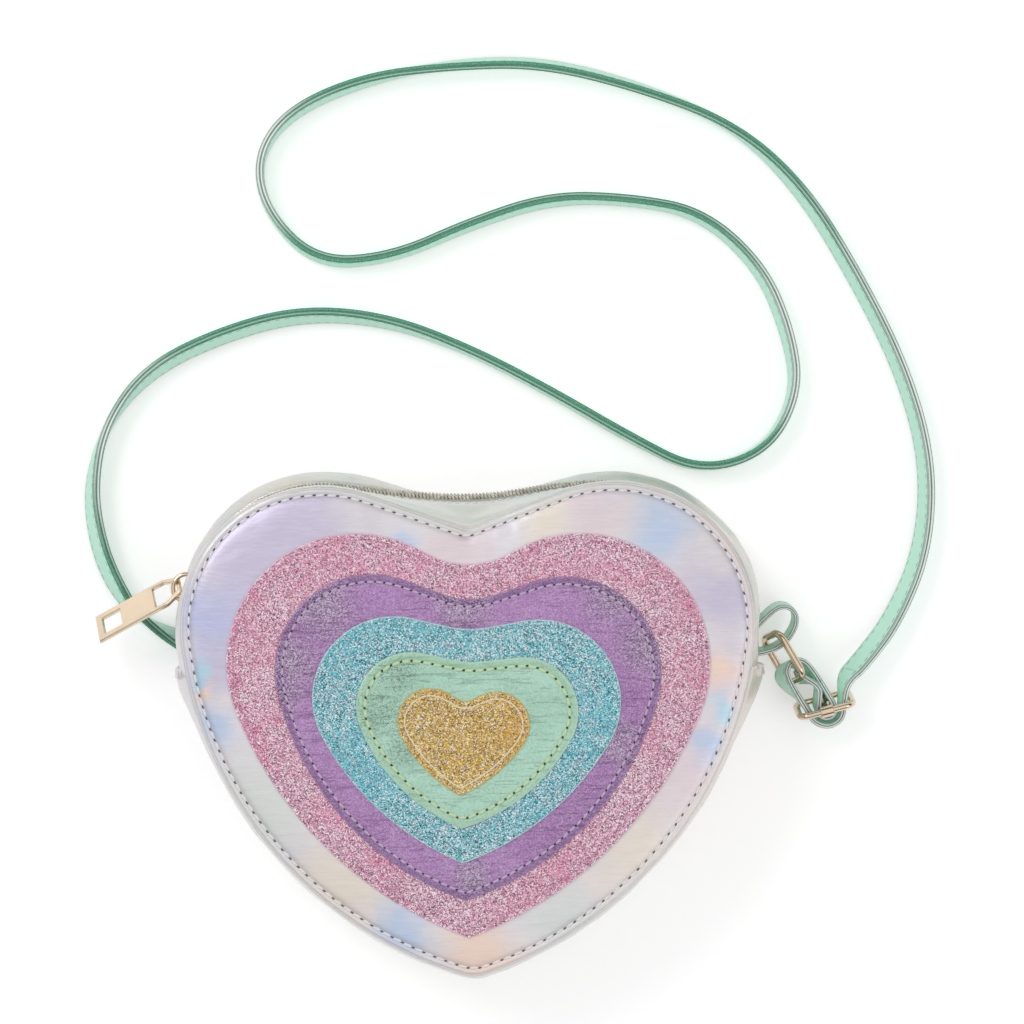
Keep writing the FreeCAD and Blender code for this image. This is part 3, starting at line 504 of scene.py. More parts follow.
def foam_finish(name, ground):
    """Open foam board."""
    f = Finish(name)
    cell = f.flakes(900, "Distance")
    tone = f.mix(cell.ramp(0.1, 0.7), ground, darker(ground, 0.2))
    return f.done(Base_Color=tone, Roughness=0.85 + cell * 0.1, Normal=f.bump(cell, 0.0003, 0.5))


def thread_finish(name, ground):
    """Twisted sewing thread."""
    f = Finish(name)
    values = {"Vector": f.place, "Scale": 900, "Distortion": 1.5}
    twist = f.part(f.node("ShaderNodeTexWave", {"bands_direction": "DIAGONAL"}, values), 0)
    tone = f.mix(twist, darker(ground, 0.16), paler(ground, 0.1))
    return f.done(Base_Color=tone, Roughness=0.5 + twist * 0.15, Normal=f.bump(twist, 0.0001, 0.5))


def hole_shade_finish(name, ground):
    """Painted shade in a needle hole."""
    f = Finish(name)
    dust = f.cloud(1600, detail=2)
    return f.done(Base_Color=f.mix(dust, darker(ground, 0.4), ground), Roughness=0.8 + dust * 0.1)


FINISHES = {}


def kept(name, make, *values):
    """A finish is made once and shared by the pieces that have it."""
    if name not in FINISHES:
        FINISHES[name] = make(name + "_finish", *values)
    return FINISHES[name]


# Modelling


def piece(name, bm, *materials):
    """A finished bmesh as a smooth object at the origin, its normals outwards."""
    bmesh.ops.remove_doubles(bm, verts=bm.verts[:], dist=1e-6)
    bmesh.ops.recalc_face_normals(bm, faces=bm.faces[:])
    mesh = bpy.data.meshes.new(name)
    bm.to_mesh(mesh)
    bm.free()
    for material in materials:
        mesh.materials.append(material)
    mesh.shade_smooth()
    made = bpy.data.objects.new(name, mesh)
    bpy.context.scene.collection.objects.link(made)
    return made


def on_bag(made, slot, *nodes):
    """A piece that rides on the bag, with its material slot, which is not used, and the solids that it stands
    for.
    """
    if nodes:
        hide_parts(*nodes)
    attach(made, "bag")


def thicken(made, thickness):
    """Gives a single skin its thickness, on the inside."""
    wall = made.modifiers.new("thickness", "SOLIDIFY")
    wall.thickness, wall.offset = thickness, -1


def cut_across(bm, north, upper):
    """Cuts a mesh across the bag and keeps what lies above the cut, or below it."""
    bmesh.ops.bisect_plane(
        bm, geom=bm.verts[:] + bm.edges[:] + bm.faces[:], plane_co=(0, north, 0),
        plane_no=(0, -1 if upper else 1, 0), clear_outer=True,
    )


# Steps on half a heart's outline, from its notch to its tip, and the least radii of these two.
NOTCH_STEPS, RUN_STEPS, LOBE_STEPS, FLANK_STEPS, TIP_STEPS = 4, 8, 40, 44, 8
LEAST_NOTCH, LEAST_TIP = 0.2 * MM, 0.4 * MM


class HeartShape:
    """A heart from eight arcs and runs: notch, two runs, two lobes, two flanks and the tip, all tangent."""

    def __init__(self, width, height, lobe, flank, tip, slope, notch, shift=(0, 0), turn=0.0):
        self.lobe, self.flank, self.tip, self.notch = (v * MM for v in (lobe, flank, tip, notch))
        self.slope = math.radians(slope)
        self.lobe_at = Vector(((width / 2 - lobe) * MM, (height / 2 - lobe) * MM))
        over = (self.lobe + self.notch) / math.cos(self.slope) - self.lobe_at.x * math.tan(self.slope)
        self.notch_at = Vector((0, self.lobe_at.y + over))
        tip_at = Vector((0, -(height / 2 - tip) * MM))
        gap = tip_at - self.lobe_at
        near, far = self.flank - self.lobe, self.flank - self.tip
        run = (near**2 - far**2 + gap.length_squared) / (2 * gap.length)
        side = math.sqrt(near**2 - run**2)
        step = gap.normalized()
        self.flank_at = self.lobe_at + step * run + Vector((step.y, -step.x)) * side
        self.place = Matrix.Translation((shift[0] * MM, shift[1] * MM, 0))
        self.place = self.place @ Matrix.Rotation(math.radians(turn), 4, "Z")

    def loop(self, bm, offset=0.0, level=0.0):
        """The outline, moved outwards by offset, as a ring of points from the notch round by the right."""
        known = set(bm.verts)
        lobe, flank, notch = self.lobe + offset, self.flank + offset, max(LEAST_NOTCH, self.notch - offset)
        tip = max(LEAST_TIP, self.tip + offset)
        tip_at = Vector((0, self.flank_at.y - math.sqrt((flank - tip) ** 2 - self.flank_at.x**2)))
        shoulder = math.pi / 2 + self.slope
        join = self.lobe_at - self.flank_at
        foot = tip_at - self.flank_at
        join, foot = math.atan2(join.y, join.x), math.atan2(foot.y, foot.x)
        start = bm.verts.new((0, self.notch_at.y - notch, 0))
        last = self._arc(bm, start, self.notch_at, self.slope, NOTCH_STEPS)
        run = self.lobe_at + lobe * Vector((math.cos(shoulder), math.sin(shoulder))) - last.co.xy
        for _ in range(RUN_STEPS):
            fresh = bmesh.ops.extrude_vert_indiv(bm, verts=[last])["verts"][0]
            bmesh.ops.translate(bm, verts=[fresh], vec=(run.x / RUN_STEPS, run.y / RUN_STEPS, 0))
            last = fresh
        last = self._arc(bm, last, self.lobe_at, join - shoulder, LOBE_STEPS)
        last = self._arc(bm, last, self.flank_at, foot - join, FLANK_STEPS)
        self._arc(bm, last, tip_at, -math.pi / 2 - foot, TIP_STEPS)
        half = [v for v in bm.verts if v not in known]
        edges = dict.fromkeys(e for v in half for e in v.link_edges)
        bmesh.ops.mirror(bm, geom=half + list(edges), matrix=Matrix.Identity(4), merge_dist=1e-6, axis="X")
        ring = [start]
        step = next(e.other_vert(start) for e in start.link_edges if e.other_vert(start).co.x > 0)
        while step is not start:
            ring.append(step)
            step = next(e.other_vert(step) for e in step.link_edges if e.other_vert(step) is not ring[-2])
        bmesh.ops.transform(bm, matrix=self.place @ Matrix.Translation((0, 0, level)), verts=ring)
        return ring

    def _arc(self, bm, vert, centre, angle, steps):
        spun = bmesh.ops.spin(
            bm, geom=[vert], cent=(centre.x, centre.y, 0), axis=UP, angle=angle, steps=steps,
            use_merge=False, use_duplicate=False,
        )
        return next(g for g in spun["geom_last"] if isinstance(g, bmesh.types.BMVert))

    def line(self, offset=0.0):
        """The outline's points alone, for what is laid along it."""
        bm = bmesh.new()
        points = [v.co.copy() for v in self.loop(bm, offset)]
        bm.free()
        return points


def ring_edges(ring):
    return [next(e for e in a.link_edges if e.other_vert(a) is b) for a, b in zip(ring, ring[1:] + ring[:1])]


def next_ring(bm, ring):
    """A fresh ring, joined to the last one by faces and still in the same place."""
    fresh = bmesh.ops.extrude_edge_only(bm, edges=ring_edges(ring))["geom"]
    known = {g for g in fresh if isinstance(g, bmesh.types.BMVert)}
    return [next(e.other_vert(v) for e in v.link_edges if e.other_vert(v) in known) for v in ring]


def bridge(bm, rings):
    for near, far in zip(rings, rings[1:]):
        bmesh.ops.bridge_loops(bm, edges=ring_edges(near) + ring_edges(far))


def fill_inwards(bm, ring, middle, shares):
    """Rings that shrink towards the middle, closed at a point."""
    for was, share in zip((1.0, *shares), shares):
        ring = next_ring(bm, ring)
        bmesh.ops.scale(bm, vec=(share / was, share / was, 1), space=Matrix.Translation(-middle), verts=ring)
    bmesh.ops.pointmerge(bm, verts=ring, merge_co=sum((v.co for v in ring), Vector()) / len(ring))


# Width, height and radii of lobe, flank and tip, mm; then the slope beside the notch in degrees, the notch's
# radius, and place and turn.
BAG_SIZES = (179, 153, 44, 124, 12)
PANEL = HeartShape(*BAG_SIZES, 20.2, 2.0)
LAYERS = {
    "pink": HeartShape(150.8, 126, 40.6, 124, 2, 28, 26, (-0.4, -1.5), -0.9),
    "purple": HeartShape(120.2, 101, 30, 91, 1.2, 19.2, 22, (-0.75, -2.2), -1.7),
    "turquoise": HeartShape(96, 76.2, 25.5, 88, 2, 11.6, 30, (-1.3, -2.9), -2.25),
    "mint": HeartShape(69.1, 54, 17.1, 57, 1.2, 9, 18, (-1.25, -3.2), -3.6),
    "gold": HeartShape(41.1, 32.7, 10.3, 47, 1.4, 26.4, 3.5, (-2.2, -3.55), -3.95),
}
# Levels of the panels' seams, and how far north the side seams are.
FRONT_SEAM, BACK_SEAM = 48.8 * MM, 1.2 * MM
SIDE_SEAM = 18.2 * MM


def smooth(value, low, high):
    share = min(1.0, max(0.0, (value - low) / (high - low)))
    return share * share * (3 - 2 * share)


def hump(value, middle, reach):
    """1 at the middle, fading to nothing on both sides."""
    return math.exp(-(((value - middle) / reach) ** 2))


class Crown:
    """Height of the front panel's skin over any place on it, from how far that place is inside the edge."""

    def __init__(self):
        line = PANEL.line()
        marks = [a.lerp(b, k / 10) for a, b in zip(line, line[1:] + line[:1]) for k in range(10)]
        self.tree = kdtree.KDTree(len(marks))
        for number, mark in enumerate(marks):
            self.tree.insert(mark, number)
        self.tree.balance()

    def inside(self, place):
        return self.tree.find((place.x, place.y, 0))[2]

    def height(self, place):
        s = sizes()
        inside = self.inside(place)
        roll = s.seam_roll * math.sin(min(1.0, inside / (1.5 * MM)) * math.pi / 2)
        groove = 0.3 * MM * hump(inside, s.edge_row, 0.8 * MM)
        lift = s.panel_crown * (1 - math.exp(-max(0.0, inside - s.edge_row) / (11 * MM)))
        slack = 0.35 * MM * noise.noise(Vector((place.x * 38, place.y * 38, 3.1)))
        return FRONT_SEAM + 0.3 * MM + roll - groove + lift + slack * smooth(inside, 3 * MM, 12 * MM)


def walk(points, pitch, closed=True):
    """Places a pitch apart along a line of points, each with the direction there."""
    points = list(points) + ([points[0]] if closed else [])
    lengths = [(b - a).length for a, b in zip(points, points[1:])]
    total = sum(lengths)
    count = max(1, round(total / pitch))
    places, at, done = [], 0, 0.0
    for number in range(count):
        target = total * (number + 0.5) / count
        while done + lengths[at] < target:
            done += lengths[at]
            at += 1
        share = (target - done) / lengths[at]
        a, b = points[at], points[at + 1]
        places.append((a.lerp(b, share), (b - a).normalized()))
    return places


def turned(place, along):
    """A frame at a place: x along the line, z upwards."""
    across = UP.cross(along).normalized()
    rise = along.cross(across)
    return Matrix.Translation(place) @ Matrix((along, across, rise)).transposed().to_4x4()


QUARTER_TURN = Matrix.Rotation(math.pi / 2, 4, "Y")


class Stamp:
    """A small bead that is repeated: made once, then set down in many places."""

    def __init__(self, across, along):
        bm = bmesh.new()
        bmesh.ops.create_uvsphere(bm, u_segments=across, v_segments=along, radius=1)
        for face in bm.faces:
            face.smooth = True
        self.mesh = bpy.data.meshes.new("stamp")
        bm.to_mesh(self.mesh)
        bm.free()

    def set_down(self, bm, place, material=0):
        for face in self.mesh.polygons:
            face.material_index = material
        self.mesh.transform(place)
        bm.from_mesh(self.mesh)
        self.mesh.transform(place.inverted())


def sew(name, line, height, thread, hole, pitch, thickness, reach=0.8, pit=0.18, slant=0.12):
    """A row of stitches: each a soft bead of thread that dips into a needle hole at both ends."""
    bm = bmesh.new()
    bead, dent = Stamp(8, 5), Stamp(8, 4)
    spots = walk(line, pitch)
    for number, (place, along) in enumerate(spots):
        ahead = spots[(number + 1) % len(spots)][0]
        middle = (place + ahead) / 2
        stand = Vector((middle.x, middle.y, height(middle) + thickness * 0.16))
        tilt = slant * 0.5 + noise.noise(Vector((number * 0.7, 1.7, 0.2))) * 0.12
        lie = turned(stand, (ahead - place).normalized()) @ Matrix.Rotation(tilt, 4, "Z")
        lie = lie @ Matrix.Diagonal((pitch * reach / 2, thickness / 2, thickness * 0.36, 1))
        bead.set_down(bm, lie @ QUARTER_TURN)
        if pit:
            # The needle hole: a flat dark bead of painted shade.
            deep = turned(Vector((place.x, place.y, height(place) + 0.03 * MM)), along)
            deep = deep @ Matrix.Rotation(slant, 4, "Z")
            deep = deep @ Matrix.Diagonal((pitch * pit, thickness * 0.3, thickness * 0.42, 1))
            dent.set_down(bm, deep, 1)
    return piece(name, bm, thread, hole)


def line_of(route):
    """Points on the smooth line of a route, read from its NURBS spline."""
    curve = bpy.data.curves.new("route", "CURVE")
    curve.dimensions = "3D"
    spline = curve.splines.new("NURBS")
    spline.points.add(len(route) - 1)
    for point, place in zip(spline.points, route):
        point.co = (*place, 1.0)
    spline.order_u = 3
    spline.use_endpoint_u = True
    curve.resolution_u = 12
    holder = bpy.data.objects.new("route", curve)
    mesh = bpy.data.meshes.new_from_object(holder)
    points = [v.co.copy() for v in mesh.vertices]
    bpy.data.objects.remove(holder)
    bpy.data.meshes.remove(mesh)
    bpy.data.curves.remove(curve)
    return points


def length_of(line):
    return sum((b - a).length for a, b in zip(line, line[1:]))


# A quarter of a strap's section: across and up, as shares of half its thickness and half its width.
STRAP_SECTION = (
    (1.04, 0.0), (1.02, 0.45), (1.0, 0.66), (0.98, 0.80), (0.95, 0.92), (0.80, 0.985), (0.52, 1.0),
    (0.22, 0.975), (0.0, 0.87),
)


def ribbon(name, places, ups, span, width, thicknesses, shines, travelled=0.0):
    """A folded strap swept along a span of places, its width along ups, its points marked for the finish."""
    bm = bmesh.new()
    marks = [bm.verts.layers.float.new(key) for key in ("along", "rise", "across", "shine")]
    upper = [*STRAP_SECTION, *((-a, r) for a, r in reversed(STRAP_SECTION[:-1]))]
    section = upper + [(a, -r) for a, r in reversed(upper[1:-1])]
    ring, was = [], None
    for number in range(len(places))[span]:
        ahead, behind = places[min(number + 1, len(places) - 1)], places[max(number - 1, 0)]
        forward = (ahead - behind).normalized()
        across = forward.cross(ups[number]).normalized()
        here = Matrix((across, across.cross(forward), forward)).transposed().to_4x4()
        here = Matrix.Translation(places[number]) @ here
        here = here @ Matrix.Diagonal((thicknesses[number] / 2, width / 2, 1, 1))
        if was is None:
            ring = [bm.verts.new((a, r, 0)) for a, r in section]
            for a, b in zip(ring, ring[1:] + ring[:1]):
                bm.edges.new((a, b))
            bmesh.ops.transform(bm, matrix=here, verts=ring)
        else:
            travelled += (places[number] - places[number - 1]).length
            ring = next_ring(bm, ring)
            bmesh.ops.transform(bm, matrix=here @ was.inverted(), verts=ring)
        was = here
        for vert, (a, r) in zip(ring, section):
            for mark, value in zip(marks, (travelled, r, a, shines[number])):
                vert[mark] = value
    bmesh.ops.holes_fill(bm, edges=[e for e in bm.edges if e.is_boundary], sides=0)
    c = colours()
    look = (tuple(c.strap_face), tuple(c.strap_edge), paint(*PALE_EDGE), STRAP_STITCH)
    return piece(name, bm, kept("mint_strap", strap_finish, *look))


# Stage

# The camera's place, its turn in degrees, and its focal length and sensor in mm.
CAMERA_PLACE = (14.35 * MM, 67.76 * MM, 1500 * MM)
CAMERA_TURN = -1.02
CAMERA_LENS, CAMERA_SENSOR = 163.8, 36.0
LAMPS_AIM = Vector((0.0, 0.05, 0))
# Place in metres, width in metres and watts.
LAMPS = {
    "key_lamp": ((-0.9, 0.9, 1.5), 0.9, 9.0),
    "fill_lamp": ((1.1, -0.5, 1.3), 1.2, 4.0),
}
# Greys of the floor, its glow, the sky that lights the purse and the room that the metal mirrors.
FLOOR, FLOOR_GLOW = (0.88, 0.88, 0.88), (0.37, 0.37, 0.37)
DUSK, DARK_WALL, CLEAR = (0.30, 0.31, 0.34), (0.12, 0.11, 0.10), (1, 1, 1)


class PURSE_OT_stage(bpy.types.Operator):
    """Camera over the middle of the flat lay, white floor and soft lamps"""

    bl_idname = "purse.stage"
    bl_label = "Stage"

    def execute(self, context):
        scene = context.scene
        scene.view_settings.view_transform = "Standard"
        lens = bpy.data.cameras.new("camera")
        lens.lens, lens.sensor_width, lens.clip_end = CAMERA_LENS, CAMERA_SENSOR, 20.0
        camera = bpy.data.objects.new("camera", lens)
        camera.location = CAMERA_PLACE
        camera.rotation_euler = (0, 0, math.radians(CAMERA_TURN))
        scene.collection.objects.link(camera)
        scene.camera = camera

        bm = bmesh.new()
        bmesh.ops.create_circle(bm, cap_ends=True, segments=96, radius=4.0)
        f = Finish("white_floor")
        glow = f.mix(f.seen(), (0, 0, 0), FLOOR_GLOW)
        white = f.done(Base_Color=FLOOR, Roughness=0.9, Emission_Strength=1.0, Emission_Color=glow)
        piece("floor", bm, white)

        f = Finish("studio", world=True)
        rise = f.part(f.node("ShaderNodeTexCoord", output="Generated"), 2)
        soft = f.tint(rise, [(0.02, DUSK), (0.55, CLEAR)])
        room = f.tint(rise, [(0.3, CLEAR), (0.46, DARK_WALL), (0.7, DARK_WALL), (0.88, CLEAR)])
        light = f.node("ShaderNodeBackground", {}, {"Color": soft, "Strength": 0.62})
        shown = f.node("ShaderNodeBackground", {}, {"Color": room, "Strength": 1.0})
        both = f.node("ShaderNodeMixShader", {}, {0: f.seen(), 1: light, 2: shown})
        scene.world = f.put_out(both, "ShaderNodeOutputWorld")

        for name, (place, width, watts) in LAMPS.items():
            lamp = bpy.data.lights.new(name, "AREA")
            lamp.shape, lamp.size, lamp.energy = "DISK", width, watts
            holder = bpy.data.objects.new(name, lamp)
            holder.location = place
            holder.rotation_euler = (Vector(place) - LAMPS_AIM).to_track_quat("Z", "Y").to_euler()
            scene.collection.objects.link(holder)
        return {"FINISHED"}


# Strap

# The strap's route on the floor, mm east and north, then how far its upper edge leans to the right of the way
# it runs, in degrees, and how pale its edge shines.
STRAP_ROUTE = (
    (-91.6, 28.0, -30, 0.2), (-104.4, 34.2, 6, 0.1), (-113.4, 46.0, 30, 0.2), (-119.0, 61.0, 29, 0.4),
    (-120.8, 79.0, 22, 0.5), (-115.4, 98.7, 2, 0.6), (-101.2, 115.4, -17, 0.45), (-78.8, 126.0, -19, 0.15),
    (-52.8, 132.8, -19, 0.0), (-24.9, 130.4, -12, 0.0), (2.6, 119.8, -4, 0.0), (28.2, 105.7, -5, 0.05),
    (52.4, 91.0, -6, 0.05), (74.6, 79.4, -2, 0.0), (96.4, 85.8, 4, 0.15), (106.8, 104.8, 6, 0.75),
    (103.8, 124.6, 13, 0.85), (95.4, 145.2, 11, 0.5), (77.0, 162.6, 8, 0.15), (54.4, 167.4, 5, 0.0),
    (28.8, 168.4, 10, 0.0), (3.0, 160.6, 8, 0.0), (-22.2, 150.0, 6, 0.0), (-47.0, 148.4, 9, 0.1),
    (-63.0, 165.4, 4, 0.6), (-65.6, 183.2, 0, 0.9), (-54.6, 197.6, -8, 0.45), (-30.2, 207.6, -8, 0.1),
    (-2.0, 211.8, 14, 0.0), (26.2, 212.0, 15, 0.0), (56.6, 204.0, 14, 0.0), (87.6, 191.0, 1, 0.1),
    (108.8, 170.4, -14, 0.3), (125.2, 142.8, -17, 0.55), (140.2, 112.0, -17, 0.7), (148.2, 82.0, -17, 0.75),
    (146.2, 53.6, -22, 0.7), (136.2, 31.2, -28, 0.6), (125.0, 17.6, -32, 0.6),
)
# How far the strap has left the floor at its last two points, mm.
STRAP_RISE = {len(STRAP_ROUTE) - 2: 0.6, len(STRAP_ROUTE) - 1: 3.0}
# Then round the metal, in the frames of the adjuster and the ring: round the adjuster's bar, to the ring,
# round it and back to the end that is sewn round the bar.
METAL_ROUTE = (
    ("adjuster", -6.4, 7.8), ("adjuster", 0.6, 5.8), ("adjuster", 5.0, 4.2), ("adjuster", 6.4, -0.6),
    ("adjuster", 3.4, -4.9), ("adjuster", -1.2, -5.8),
    ("ring", 14.2, -4.5), ("ring", 10.8, -2.2), ("ring", 10.6, 2.2), ("ring", 14.4, 4.9),
    ("adjuster", -1.2, 3.0), ("adjuster", 2.6, 2.6), ("adjuster", 3.4, -0.6), ("adjuster", 1.2, -3.0),
    ("adjuster", -3.0, -1.4), ("adjuster", -8.0, 0.0), ("ring", 15.6, 0.9),
)
# Where the strap is parted, counted along the metal's points: round the bar, round the ring, its sewn end.
METAL_PARTS = (-1, 5, 9)
METAL_SHINE, LOOP_SHINE = 0.75, 0.8
LOOP_ROUTE = (
    (-5.0, -3.6), (-7.2, 3.0), (-7.3, 8.0), (-3.8, 10.6), (0.0, 9.4), (2.9, 5.4), (4.1, 0.8), (3.4, -4.2),
    (1.6, -8.2),
)


def fitting(east, north, level, bearing, tilt, axis):
    """A frame: its place in mm, its bearing, and its tilt about one of its own axes, in degrees."""
    place = Matrix.Translation((east * MM, north * MM, level * MM))
    place = place @ Matrix.Rotation(math.radians(bearing), 4, "Z")
    return place @ Matrix.Rotation(math.radians(tilt), 4, axis)


FITTINGS = {
    "ring": fitting(96.4, 26.8, 8.4, -60.6, -24, "X"),
    "loop": fitting(96.4, 26.8, 8.9, -60.6, 10, "Y"),
    "adjuster": fitting(113.15, 4.33, 9.1, -76.4, 16, "Y"),
}


def strap_points():
    """The strap's points, the way that its width stands at each, and its thickness and shine there."""
    s = sizes()
    places, ups, more = [], [], []
    for number, (east, north, lean, shine) in enumerate(STRAP_ROUTE):
        ahead = STRAP_ROUTE[min(number + 1, len(STRAP_ROUTE) - 1)]
        behind = STRAP_ROUTE[max(number - 1, 0)]
        forward = Vector((ahead[0] - behind[0], ahead[1] - behind[1], 0)).normalized()
        lean = math.radians(lean)
        ups.append(UP * math.cos(lean) + forward.cross(UP) * math.sin(lean))
        stand = s.strap_width / 2 * math.cos(lean) + s.strap_thickness / 2 * abs(math.sin(lean)) + 0.3 * MM
        places.append(Vector((east * MM, north * MM, stand + STRAP_RISE.get(number, 0) * MM)))
        more.append((s.strap_thickness, shine, 0))
    more[-1] = (s.ply * 1.15, STRAP_ROUTE[-1][3], 0)
    for holder, out, side in METAL_ROUTE:
        places.append(FITTINGS[holder] @ Vector((out * MM, side * MM, 0)))
        ups.append(FITTINGS[holder].to_3x3() @ UP)
        more.append((s.ply, METAL_SHINE, 0))
    floor = len(STRAP_ROUTE)
    ups[floor] = (ups[floor - 1] + ups[floor]).normalized()
    return places, ups, more


class PURSE_OT_strap(bpy.types.Operator):
    """Shoulder strap on the floor, its turns round adjuster and ring, and the side loop"""

    bl_idname = "purse.strap"
    bl_label = "Strap"

    def execute(self, context):
        s = sizes()
        points = strap_points()
        line, ways, more = (line_of(each) for each in points)
        share = (len(line) - 1) / (len(points[0]) - 2)
        parts = [round((len(STRAP_ROUTE) + knot) * share) for knot in METAL_PARTS]
        ends = [0, *parts, len(line) - 1]
        made = []
        for name, node, first, last in zip(
            ("strap", "strap_round_bar", "strap_round_ring", "strap_end"),
            ("shoulder_strap", "strap_wrap", "strap_turn", "strap_sewn_end"), ends, ends[1:],
        ):
            made.append(ribbon(
                name, line, ways, slice(first, last + 1), s.strap_width, [m.x for m in more],
                [m.y for m in more], length_of(line[: first + 1]),
            ))
            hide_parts(node)
        strap, wrap, turn, end = made
        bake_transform(strap)
        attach(turn, "ring")
        for each in (wrap, end):
            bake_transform(each)

        line = line_of([FITTINGS["loop"] @ Vector((x * MM, y * MM, 0)) for x, y in LOOP_ROUTE])
        count = len(line)
        loop = ribbon(
            "sewn_loop", line, [FITTINGS["loop"].to_3x3() @ UP] * count, slice(0, count), s.loop_width,
            [s.loop_ply] * count, [LOOP_SHINE] * count,
        )
        on_bag(loop, "mint_loop", "side_loop")
        return {"FINISHED"}


# Panels

# How far inside a panel's edge its rings of points are, mm, closer together at the row of stitches, on the
# back panel each with its level; and the shares by which the rings shrink further in.
FRONT_INSETS = (0.0, 0.3, 0.8, 1.4, 1.9, 2.2, 2.4, 2.6, 2.9, 3.4, 4.4, 6.0, 8.0, 10.0)
FRONT_SHARES = (0.94, 0.87, 0.78, 0.68, 0.56, 0.44, 0.32, 0.2, 0.1)
BACK_RINGS = (
    (-0.4, 1.2), (0.0, 0.9), (0.3, 0.45), (0.9, 0.12), (1.6, 0.02), (2.2, 0.2), (2.4, 0.26), (2.6, 0.2),
    (3.4, 0.02), (6.0, 0.0), (10.0, 0.0),
)
BACK_SHARES = (0.8, 0.6, 0.4, 0.2)
PANEL_MIDDLE = Vector((0, 4 * MM, 0))
# Level of the back panel's stitches.
BACK_ROW = 0.3 * MM


def sewing(name="silver_thread", red=250, green=248, blue=250):
    return kept(name, thread_finish, paint(red, green, blue))


def needle_hole(name="needle_hole", red=122, green=110, blue=110):
    return kept(name, hole_shade_finish, paint(red, green, blue))


def sew_panel(cover, node, row, height):
    """What a panel stands for, and the row of stitches round its edge."""
    on_bag(cover, "holographic_panel", node)
    s = sizes()
    line = PANEL.line(-s.edge_row)
    stitches = sew(row, line, height, sewing(), needle_hole(), s.stitch_pitch, s.thread)
    on_bag(stitches, "holographic_panel")


class PURSE_OT_panels(bpy.types.Operator):
    """Front and back panels in foil, crowned by their foam, with the row of stitches round the edge"""

    bl_idname = "purse.panels"
    bl_label = "Panels"

    def execute(self, context):
        c = colours()
        crown = Crown()
        bm = bmesh.new()
        rim, edge = (bm.verts.layers.float.new(key) for key in ("rim", "edge"))
        rings = [PANEL.loop(bm, -0.5 * MM, 0)]
        known = set(rings[0])
        rings += [PANEL.loop(bm, -inset * MM) for inset in FRONT_INSETS]
        bridge(bm, rings)
        fill_inwards(bm, rings[-1], PANEL_MIDDLE, FRONT_SHARES)
        for vert in bm.verts:
            vert[rim] = 1 - smooth(crown.inside(vert.co), 1.2 * MM, 2.8 * MM)
            # The edge mark: where the foil carries a painted highlight along the rolled edge.
            vert[edge] = 1 - smooth(crown.inside(vert.co), 0.2 * MM, 1.0 * MM)
            vert.co.z = FRONT_SEAM + 0.1 * MM if vert in known else crown.height(vert.co)
        front = piece("front_cover", bm, kept("holographic_panel", foil_finish, tuple(c.silver), RAINBOW))
        sew_panel(front, "front_panel", "panel_stitches", crown.height)

        bm = bmesh.new()
        rings = [PANEL.loop(bm, -inset * MM, level * MM) for inset, level in BACK_RINGS]
        bridge(bm, rings)
        fill_inwards(bm, rings[-1], PANEL_MIDDLE, BACK_SHARES)
        back = piece("back_cover", bm, kept("holographic_back", foil_finish, tuple(c.silver), RAINBOW, True))
        sew_panel(back, "back_panel", "back_stitches", lambda place: BACK_ROW)
        return {"FINISHED"}


# Heart layers

# Where light is painted on the leather layers, a sheen on the purple and shade on the mint's left: right, up
# and reach, mm.
PURPLE_PAINTED_SHEEN = (
    ("left lobe", -46, 40, 12), ("left side", -57, 22, 12), ("notch", -1, 40, 10), ("right lobe", 46, 42, 11),
    ("right side", 58, 26, 13), ("right flank", 47, -4, 9), ("tip", 0, -45, 6), ("left edge", -59, 12, 7),
)
MINT_PAINTED_SHADE = (("left lobe", -22, 18, 9), ("left side", -28, 7, 10), ("left flank", -20, -6, 7))
# Glitter: its strong patches, bright flakes and the painted sparkle made paler from them, dull specks and cut
# edge.
GLITTERS = {
    "pink": ((236, 118, 164), (246, 222, 232), (170, 138, 150), (246, 228, 238)),
    "turquoise": ((70, 196, 214), (188, 230, 236), (182, 164, 180), (226, 244, 244)),
    "gold": ((232, 166, 30), (240, 204, 96), (150, 134, 140), (238, 204, 110)),
}
# Leather: the tint of its painted light (sheen on the purple, shade on the mint), rim and cut edge, how
# coarse its grain is, how strong the painted shade in its creases is, and the spots of painted light.
LEATHERS = {
    "purple": ((166, 150, 170), (138, 96, 152), (184, 164, 192), 0.36, 0.3, PURPLE_PAINTED_SHEEN),
    "mint": ((116, 162, 136), (170, 214, 182), (228, 242, 228), 0.22, 0.08, MINT_PAINTED_SHADE),
}
# Colours of thread and of the painted shade in its needle holes, thickness and pitch in mm, share of the
# pitch that shows, half a hole's share, and how far the row lies inside the usual one.
THREADS = {
    "pink": ((232, 150, 186), (140, 90, 110), 0.4, 3.2, 0.7, 0.06, 0),
    "purple": ((208, 184, 216), (76, 52, 88), 0.9, 2.9, 0.82, 0.15, 0.1),
    "mint": ((210, 238, 188), (62, 92, 58), 1.3, 3.3, 0.9, 0.2, 0.5),
    "gold": ((254, 242, 200), (90, 60, 20), 0.6, 1.5, 1.2, 0, 0),
}
# A layer's top near its edge, mm: how far in, and how far above its flat; then the shares of its inner rings.
LAYER_EDGE = (
    (0.0, -0.45), (0.06, -0.14), (0.22, -0.02), (0.5, 0.0), (1.0, 0.02), (1.5, 0.0), (1.9, -0.1),
    (2.2, -0.16), (2.5, -0.1), (3.0, 0.02), (3.8, 0.05),
)
LAYER_SHARES = (0.93, 0.84, 0.74, 0.62, 0.5, 0.38, 0.26, 0.14)


